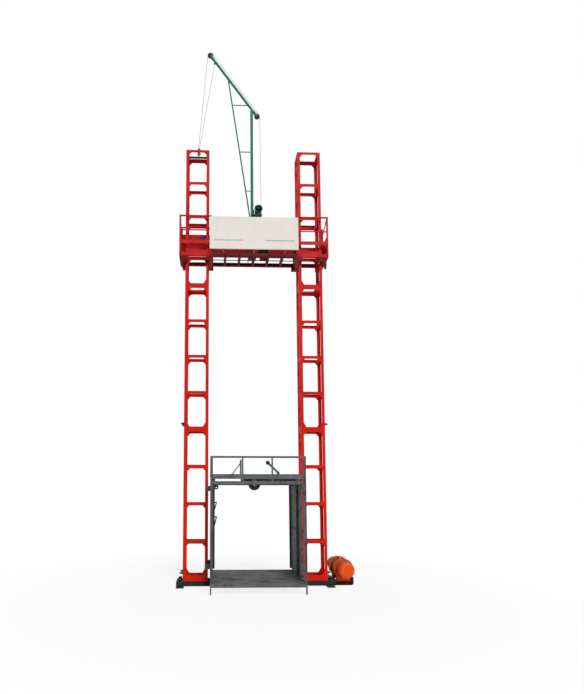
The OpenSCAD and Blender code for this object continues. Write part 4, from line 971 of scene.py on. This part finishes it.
@dataclass
class Cage:
    """The open cage that rides between the masts."""

    wall_x: float = 0.888
    guide_y: float = 0.200
    guide_zs: Row = (1.925, 0.415)
    bolt_dy: float = 0.040
    bolt_dz: float = 0.034
    guide_head: HexHead = HexHead(across=0.020, height=0.011, washer=0.030)
    beam_bolt_x: float = 0.867
    beam_bolt_y: float = 0.060
    beam_bolt_z: float = 2.154
    lever_eye: Point = (0.2714, -0.055, 2.4484)
    lever_half_t: float = 0.007
    eye_head: HexHead = HexHead(across=0.034, height=0.012, washer=0.064)
    corner_plate: Block = Block((-0.872, -0.100, 1.918), (-0.800, -0.078, 2.000), 0.006)
    corner_eye: Point = (-0.776, -0.090, 1.952)
    corner_eye_r: float = 0.032
    corner_eye_bar: float = 0.015
    handle_root_x: float = -0.815
    handle_y: float = -0.799
    handle_r: float = 0.011
    handles: tuple[tuple[float, float, float, float], ...] = (
        (-0.775, 1.668, -0.806, 1.553), (-0.775, 1.406, -0.808, 1.260))
    track: Block = Block((-0.870, -0.808, 0.470), (-0.806, -0.790, 1.982), 0.005)

    def build(self) -> None:
        """Bolt the guides to the walls and the crossbeam to its seats, and add the small fittings."""
        self.build_lever_bolt()
        self.build_corner_eye()
        self.build_handles()
        make_piece("gate_track", block_mesh(self.track), BASE_BLACK, Body.CAGE)
        inside = [
            facing((side * self.wall_x, depth * self.guide_y + dy, z + dz), Vector((-side, 0, 0)))
            for side in SIDES for depth in SIDES for z in self.guide_zs
            for dy in (-self.bolt_dy, self.bolt_dy) for dz in (-self.bolt_dz, self.bolt_dz)]
        make_piece("guide_bolts", self.guide_head.field(inside), BOLT_STEEL, Body.CAGE)
        seats = [
            facing((side * self.beam_bolt_x, depth * self.beam_bolt_y, self.beam_bolt_z), UP)
            for side in SIDES for depth in SIDES]
        make_piece("crossbeam_bolts", self.guide_head.field(seats), BOLT_STEEL, Body.CAGE)

    def build_lever_bolt(self) -> None:
        """Close the eye of the safety lever with a bolt."""
        middle = Vector(self.lever_eye)
        places = [facing(middle + REAR * side * self.lever_half_t, REAR * side) for side in SIDES]
        make_piece("lever_eye_bolt", self.eye_head.field(places), BASE_BLACK, Body.LEVER)

    def build_corner_eye(self) -> None:
        """Fix a rope eye to the drilled gusset under the left end of the crossbeam."""
        shape = block_mesh(self.corner_plate)
        add_ring(shape, facing(self.corner_eye, REAR), self.corner_eye_r, self.corner_eye_bar)
        make_piece("corner_rope_eye", shape, SHEAVE_DARK, Body.CAGE)

    def build_handles(self) -> None:
        """Weld two bent grab handles to the gate track."""
        shape = bmesh.new()
        for top_x, top_z, low_x, low_z in self.handles:
            top, low = (Vector((x, self.handle_y, z)) for x, z in ((top_x, top_z), (low_x, low_z)))
            roots = [Vector((self.handle_root_x, self.handle_y, at.z)) for at in (top, low)]
            for start, end in ((roots[0], top), (top, low), (low, roots[1])):
                place = facing((start + end) / 2, (end - start).normalized())
                add_rod(shape, place, self.handle_r, (end - start).length, sides=12)
            for at in (top, low):
                bmesh.ops.create_uvsphere(
                    shape, u_segments=12, v_segments=8, radius=self.handle_r, matrix=Matrix.Translation(at))
        make_piece("wall_grab_handles", shape, HOOK_BLACK, Body.CAGE)

    def dress(self) -> None:
        """Paint the steel and lay the boards."""
        paint(
            CAGE_GREY, "cage_floor_frame", "cage_top_beams", "cage_crossbeam", "cage_guard_rail",
            "cage_landing_legs", "cage_guides", "safety_lever")
        paint(CAGE_WALL, "cage_left_wall", "cage_right_wall", "cage_roof_plate")
        paint(BOARDS, "cage_floor_boards")
        paint(SHEAVE_DARK, "cage_sheave")
        paint(
            ROLLER_STEEL, "upper_front_rollers", "upper_rear_rollers", "lower_front_rollers",
            "lower_rear_rollers", "left_stop_bolt", "right_stop_bolt", "cage_sheave_pin")


@dataclass
class Platform:
    """The climbing platform with its guard rails, sign board and rope sheaves."""

    beam_y: float = 0.230
    bolt_z: float = 6.770
    bolt_xs: Row = (-1.532, -0.9, -0.6, -0.3, 0.0, 0.3, 0.6, 0.9, 1.532)
    beam_head: HexHead = HexHead(across=0.022, height=0.012, washer=0.030)
    sign_y: float = -0.255
    band_z: float = 7.065
    band_h: float = 0.022
    band_proud: float = 0.0008
    band_sunk: float = 0.001
    band_round: float = 0.0004
    band_xs: tuple[tuple[float, float], ...] = ((-0.833, -0.230), (0.240, 0.844))
    cap_at: Point = (-1.046, 0.224, 7.350)
    cap_r: float = 0.062
    cap_l: float = 0.030
    cap_round: float = 0.010
    knob_out: float = 0.035
    knob_r: float = 0.016
    knob_end_r: float = 0.013
    knob_l: float = 0.012

    def build(self) -> None:
        """Add the beam bolts, the bands on the sign and the round cap on the screen."""
        places = [
            facing((x, side * self.beam_y, self.bolt_z), REAR * side) for side in SIDES for x in self.bolt_xs]
        bolts = self.beam_head.field(places)
        # The beam bolts take the darker red of painted shade.
        make_piece("platform_beam_bolts", bolts, PLATFORM_SHADED, Body.PLATFORM)
        front, back = self.sign_y - self.band_proud, self.sign_y + self.band_sunk
        foot, top = self.band_z - self.band_h / 2, self.band_z + self.band_h / 2
        bands = [
            Block((left, front, foot), (right, back, top), self.band_round) for left, right in self.band_xs]
        make_piece("sign_bands", block_mesh(*bands), SIGN_BAND, Body.PLATFORM)
        self.build_cap()

    def build_cap(self) -> None:
        """Fix the round cap to the front of the rear screen."""
        shape = bmesh.new()
        root = Vector(self.cap_at)
        middle = root + FRONT * self.cap_l / 2
        rim = add_rod(shape, facing(middle, FRONT), self.cap_r, self.cap_l, sides=40)
        round_edges(shape, (v for v in rim if v.co.y < middle.y), self.cap_round, segments=3)
        knob = facing(root + FRONT * self.knob_out, FRONT)
        add_rod(shape, knob, self.knob_r, self.knob_l, self.knob_end_r)
        make_piece("screen_blue_cap", shape, SHEAVE_BLUE, Body.PLATFORM)

    def dress(self) -> None:
        """Paint the steelwork, the sign and the sheaves."""
        paint(PLATFORM_RED, "platform_front_rails", "platform_rear_rails", "platform_ends")
        # The dark middle of the front beam is a painted shadow of the sign.
        paint(PLATFORM_BEAM_SHADOWED, "platform_front_beam")
        # The darker red on these members is painted shade.
        paint(
            PLATFORM_SHADED, "platform_rear_beam", "platform_joists", "platform_guides", "platform_lock_bars",
            "platform_sheave_brackets")
        paint(SIGN_WHITE, "sign_board")
        paint(SHEAVE_IRON, "platform_side_sheave", "platform_centre_sheave")
        paint(JIB_GREEN, "jib_socket")


@dataclass
class Jib:
    """The slewing jib with its hand winch, rope and hook; its members lie in the XZ plane."""

    hand_at: Point = (0.113, 0.0, 7.885)
    hand_pitch_r: float = 0.0658
    rear_at: Point = (0.100, 0.0, 10.060)
    tip_at: Point = (-0.927, 0.0, 11.489)
    pitch_r: float = 0.0576
    hook_at: Point = (-1.166, 0.0, 9.230)
    fall_spread: float = 0.020
    socket_l: float = 0.058
    fall_gap: float = 0.001
    becket_set: float = 0.175
    becket_len: float = 0.060
    hoist_travel: float = 1.4
    rope: RopeLay = RopeLay(diameter=0.009)
    fork_y: float = 0.0203
    pin_head: HexHead = HexHead(across=0.030, height=0.010, washer=0.040)
    hand_turns: int = 3
    hand_pitch_share: float = 1.06
    gear_r: float = 0.088
    gear_tooth: float = 0.009
    gear_teeth: int = 40
    gear_ys: tuple[float, float] = (-0.081, -0.0675)
    gear_rim: float = 0.020
    gear_dish: float = 0.005
    gear_hub_r: float = 0.024
    gear_hub_end_r: float = 0.020
    gear_hub_l: float = 0.020
    latch_at: Point = (0.004, 0.0, -0.046)
    latch_r: float = 0.005
    latch_l: float = 0.030
    link_drop: float = 0.074
    link_r: float = 0.024
    link_bar: float = 0.014

    @staticmethod
    def tangent(a: Vector, a_r: float, b: Vector, b_r: float, turn: float) -> Vector:
        """Return the side that a common tangent of two circles touches.

        Args:
            a: middle of the first circle.
            a_r: its radius.
            b: middle of the second circle.
            b_r: its radius.
            turn: 1 or -1 for the side of the line between them.

        Returns:
            A unit vector in the jib's plane.
        """
        way = b - a
        lean = math.atan2(way.z, way.x) + turn * math.acos((a_r - b_r) / way.length)
        return spoke(lean)

    def wrap(self, middle: Vector, start: Vector, end: Vector) -> list[Vector]:
        """Lay the rope about a sheave.

        Args:
            middle: middle of the sheave.
            start: side where the rope comes on.
            end: side where it leaves.

        Returns:
            Points of its middle.
        """
        first = math.atan2(start.z, start.x)
        turn = math.atan2(end.z, end.x) - first
        steps = 24
        angles = [first + turn * i / steps for i in range(steps + 1)]
        return [middle + self.pitch_r * spoke(a) for a in angles]

    def build(self) -> None:
        """Reeve the rope, wind the hand winch, and add its gear, the pin heads, the latch and the link."""
        hand, rear, tip, hook = map(Vector, (self.hand_at, self.rear_at, self.tip_at, self.hook_at))
        ends = [hook + Vector((s * self.fall_spread / 2, 0.0, self.socket_l)) for s in SIDES]
        lift = self.tangent(hand, self.hand_pitch_r, rear, self.pitch_r, -1)
        over = self.tangent(rear, self.pitch_r, tip, self.pitch_r, -1)
        down = self.tangent(ends[0], 0.0, tip, self.pitch_r, 1)
        route = [hand + self.hand_pitch_r * lift, *self.wrap(rear, lift, over), *self.wrap(tip, over, down)]
        run = self.rope.piece("jib_lift_rope", route, JIB_ROPE, Body.JIB)
        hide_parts("jib_rope_run")
        boom = (tip - rear).normalized()
        becket = tip - self.becket_set * boom
        becket_end = becket + self.becket_len * (ends[1] - becket).normalized()
        falls = (
            ("jib_lead_fall", tip + self.pitch_r * down, ends[0]), ("jib_becket_fall", becket_end, ends[1]))
        for name, top, end in falls:
            low = end + UP * self.fall_gap
            fall = self.rope.piece(name, [top, low], JIB_ROPE, Body.JIB)
            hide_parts("jib_rope_falls")
            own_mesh(fall)
        self.build_hand_turns(lift)
        self.build_hand_gear()
        self.build_heads()
        self.build_latch()

    def build_hand_turns(self, lift: Vector) -> None:
        """Wind the hand winch's own turns beside the rope that leaves it.

        Args:
            lift: side where the rope leaves the drum.
        """
        start = math.atan2(lift.z, lift.x)
        steps = 48
        pitch = self.rope.diameter * self.hand_pitch_share
        route = []
        for k in range(self.hand_turns * steps + 1):
            out = spoke(start + 2 * math.pi * k / steps) * self.hand_pitch_r
            route.append(Vector(self.hand_at) + out + REAR * (-pitch * (1 + k / steps)))
        self.rope.piece("hand_winch_turns", route, JIB_ROPE, Body.HAND_DRUM)

    def build_hand_gear(self) -> None:
        """Fix the toothed wheel to the front end of the hand winch's shaft."""
        hand = Vector(self.hand_at)
        front, back = self.gear_ys
        shape = bmesh.new()
        corners = 4
        rim = bmesh.ops.create_circle(
            shape, cap_ends=True, segments=corners * self.gear_teeth, radius=self.gear_r,
            matrix=facing(hand + REAR * back, FRONT))["verts"]
        for i, vert in enumerate(rim):
            if i % corners > 1:
                vert.co -= (vert.co - hand - REAR * back).normalized() * self.gear_tooth
        web = bmesh.ops.extrude_face_region(shape, geom=list(shape.faces))["geom"]
        bmesh.ops.translate(
            shape, verts=[v for v in web if isinstance(v, BMVert)], vec=FRONT * (back - front))
        face = next(f for f in web if isinstance(f, BMFace))
        bmesh.ops.inset_region(shape, faces=[face], thickness=self.gear_rim, depth=-self.gear_dish)
        hub = facing(hand + REAR * front, FRONT)
        add_rod(shape, hub, self.gear_hub_r, self.gear_hub_l, self.gear_hub_end_r, sides=24)
        make_piece("hand_winch_gear", shape, HAND_WINCH_GREEN, Body.HAND_DRUM)

    def build_heads(self) -> None:
        """Close the sheave pins with hexagon heads."""
        places = [
            facing(Vector(at) + REAR * side * self.fork_y, REAR * side)
            for at in (self.rear_at, self.tip_at) for side in SIDES]
        make_piece("jib_pin_heads", self.pin_head.field(places), HOOK_BLACK, Body.JIB)

    def build_latch(self) -> None:
        """Close the mouth of the hook with a latch pin and hang a heavy link in it."""
        hook = Vector(self.hook_at)
        shape = bmesh.new()
        add_rod(shape, facing(hook + Vector(self.latch_at), REAR), self.latch_r, self.latch_l, sides=12)
        make_piece("hook_latch_pin", shape, HOOK_BLACK, Body.HOOK)
        link = bmesh.new()
        add_ring(link, facing(hook - UP * self.link_drop, REAR), self.link_r, self.link_bar)
        make_piece("hook_link", link, HOOK_BLACK, Body.HOOK)

    def dress(self) -> None:
        """Paint the jib and the hand winch."""
        paint(JIB_GREEN, "jib_frame")
        paint(HAND_WINCH_GREEN, "hand_winch_frame", "hand_winch_drum")
        paint(SHEAVE_IRON, "jib_tip_sheave", "jib_rear_sheave")
        paint(HOOK_BLACK, "jib_hook")


@dataclass
class Studio:
    """Camera, lamps, background and floor."""

    image: tuple[float, float] = (584.0, 694.0)
    focal_px: float = 441.56
    centre_px: tuple[float, float] = (225.49, 451.14)
    eye: Point = (-0.8277, -8.9980, 1.9026)
    right_turn: float = 0.0267
    tilt_up: float = 0.0870
    roll: float = -0.0007
    sensor_mm: float = 36.0
    sight: float = 500.0
    ambient: float = 0.30
    key_strength: float = 2.15
    key_from: Point = (0.25, -0.80, 0.75)
    key_soft_deg: float = 18.0
    floor_half: float = 60.0
    floor_grey: float = 0.92
    floor_glow: float = 0.84
    fade_from: float = 2.2
    fade_to: float = 6.0

    def build(self) -> None:
        """Set up the picture."""
        self.build_camera()
        self.build_lamps()
        self.build_world()
        self.build_floor()
        bpy.context.scene.view_settings.view_transform = "Standard"

    def build_camera(self) -> None:
        """Put the camera where the photograph was taken from."""
        width, height = self.image
        data = bpy.data.cameras.new("camera")
        data.sensor_width = self.sensor_mm
        data.lens = self.focal_px * self.sensor_mm / height
        data.shift_x = (width / 2 - self.centre_px[0]) / height
        data.shift_y = (self.centre_px[1] - height / 2) / height
        data.clip_end = self.sight
        camera = bpy.data.objects.new("camera", data)
        camera.location = self.eye
        camera.rotation_euler = (math.pi / 2 + self.tilt_up, self.roll, -self.right_turn)
        bpy.context.scene.collection.objects.link(camera)
        bpy.context.scene.camera = camera

    def build_lamps(self) -> None:
        """Light the object from the front and above with one wide, soft lamp."""
        data = bpy.data.lights.new("key", "SUN")
        data.energy = self.key_strength
        data.angle = math.radians(self.key_soft_deg)
        lamp = bpy.data.objects.new("key", data)
        lamp.rotation_mode = "QUATERNION"
        lamp.rotation_quaternion = (-Vector(self.key_from)).to_track_quat("-Z", "Y")
        bpy.context.scene.collection.objects.link(lamp)

    def build_world(self) -> None:
        """Show a white background and light the object with a dimmer one."""
        world = bpy.data.worlds.new("studio")
        world.use_nodes = True
        tree = world.node_tree
        tree.nodes.clear()
        path = add_node(tree, "ShaderNodeLightPath")
        seen = path.outputs["Is Camera Ray"]
        for name in ("Is Glossy Ray", "Is Transmission Ray"):
            seen = add_node(tree, "ShaderNodeMath", {"operation": "MAXIMUM"}, {0: seen, 1: path.outputs[name]})
        dim, white = (
            add_node(tree, "ShaderNodeBackground", {}, {"Color": WHITE, "Strength": strength})
            for strength in (self.ambient, 1.0))
        mix = add_node(tree, "ShaderNodeMixShader", {}, {0: seen, 1: dim, 2: white})
        add_node(tree, "ShaderNodeOutputWorld", {}, {"Surface": mix})
        bpy.context.scene.world = world

    def build_floor(self) -> None:
        """Lay a pale floor that keeps the shadow near the object and fades to white."""
        shape = bmesh.new()
        bmesh.ops.create_grid(shape, x_segments=1, y_segments=1, size=self.floor_half)
        mesh = bpy.data.meshes.new("floor")
        shape.to_mesh(mesh)
        shape.free()
        floor = bpy.data.objects.new("floor", mesh)
        bpy.context.scene.collection.objects.link(floor)
        made = bpy.data.materials.new("floor_matt_white")
        made.use_nodes = True
        tree = made.node_tree
        tree.nodes.clear()
        place = add_node(tree, "ShaderNodeTexCoord")
        reach = add_node(tree, "ShaderNodeVectorMath", {"operation": "LENGTH"}, {0: place.outputs["Object"]})
        far = add_node(tree, "ShaderNodeMapRange", {"interpolation_type": "SMOOTHSTEP"}, {
            "Value": reach.outputs["Value"], "From Min": self.fade_from, "From Max": self.fade_to,
            "To Min": self.floor_glow})
        path = add_node(tree, "ShaderNodeLightPath")
        shown = add_node(tree, "ShaderNodeMath", {"operation": "MULTIPLY"}, {
            0: far, 1: path.outputs["Is Camera Ray"]})
        grey = (self.floor_grey, self.floor_grey, self.floor_grey, 1.0)
        matt = add_node(tree, "ShaderNodeBsdfDiffuse", {}, {"Color": grey})
        glow = add_node(tree, "ShaderNodeEmission", {}, {"Color": WHITE, "Strength": 1.0})
        mix = add_node(tree, "ShaderNodeMixShader", {}, {
            0: shown, 1: matt, 2: glow})
        add_node(tree, "ShaderNodeOutputMaterial", {}, {"Surface": mix})
        mesh.materials.append(made)


def main() -> None:
    """Build and dress each sub-assembly in order."""
    logging.basicConfig(level=logging.INFO)
    Studio().build()
    for part in (Base(), Masts(), Winch(), Cage(), Platform(), Jib()):
        part.build()
        part.dress()


if __name__ == "__main__":
    main()
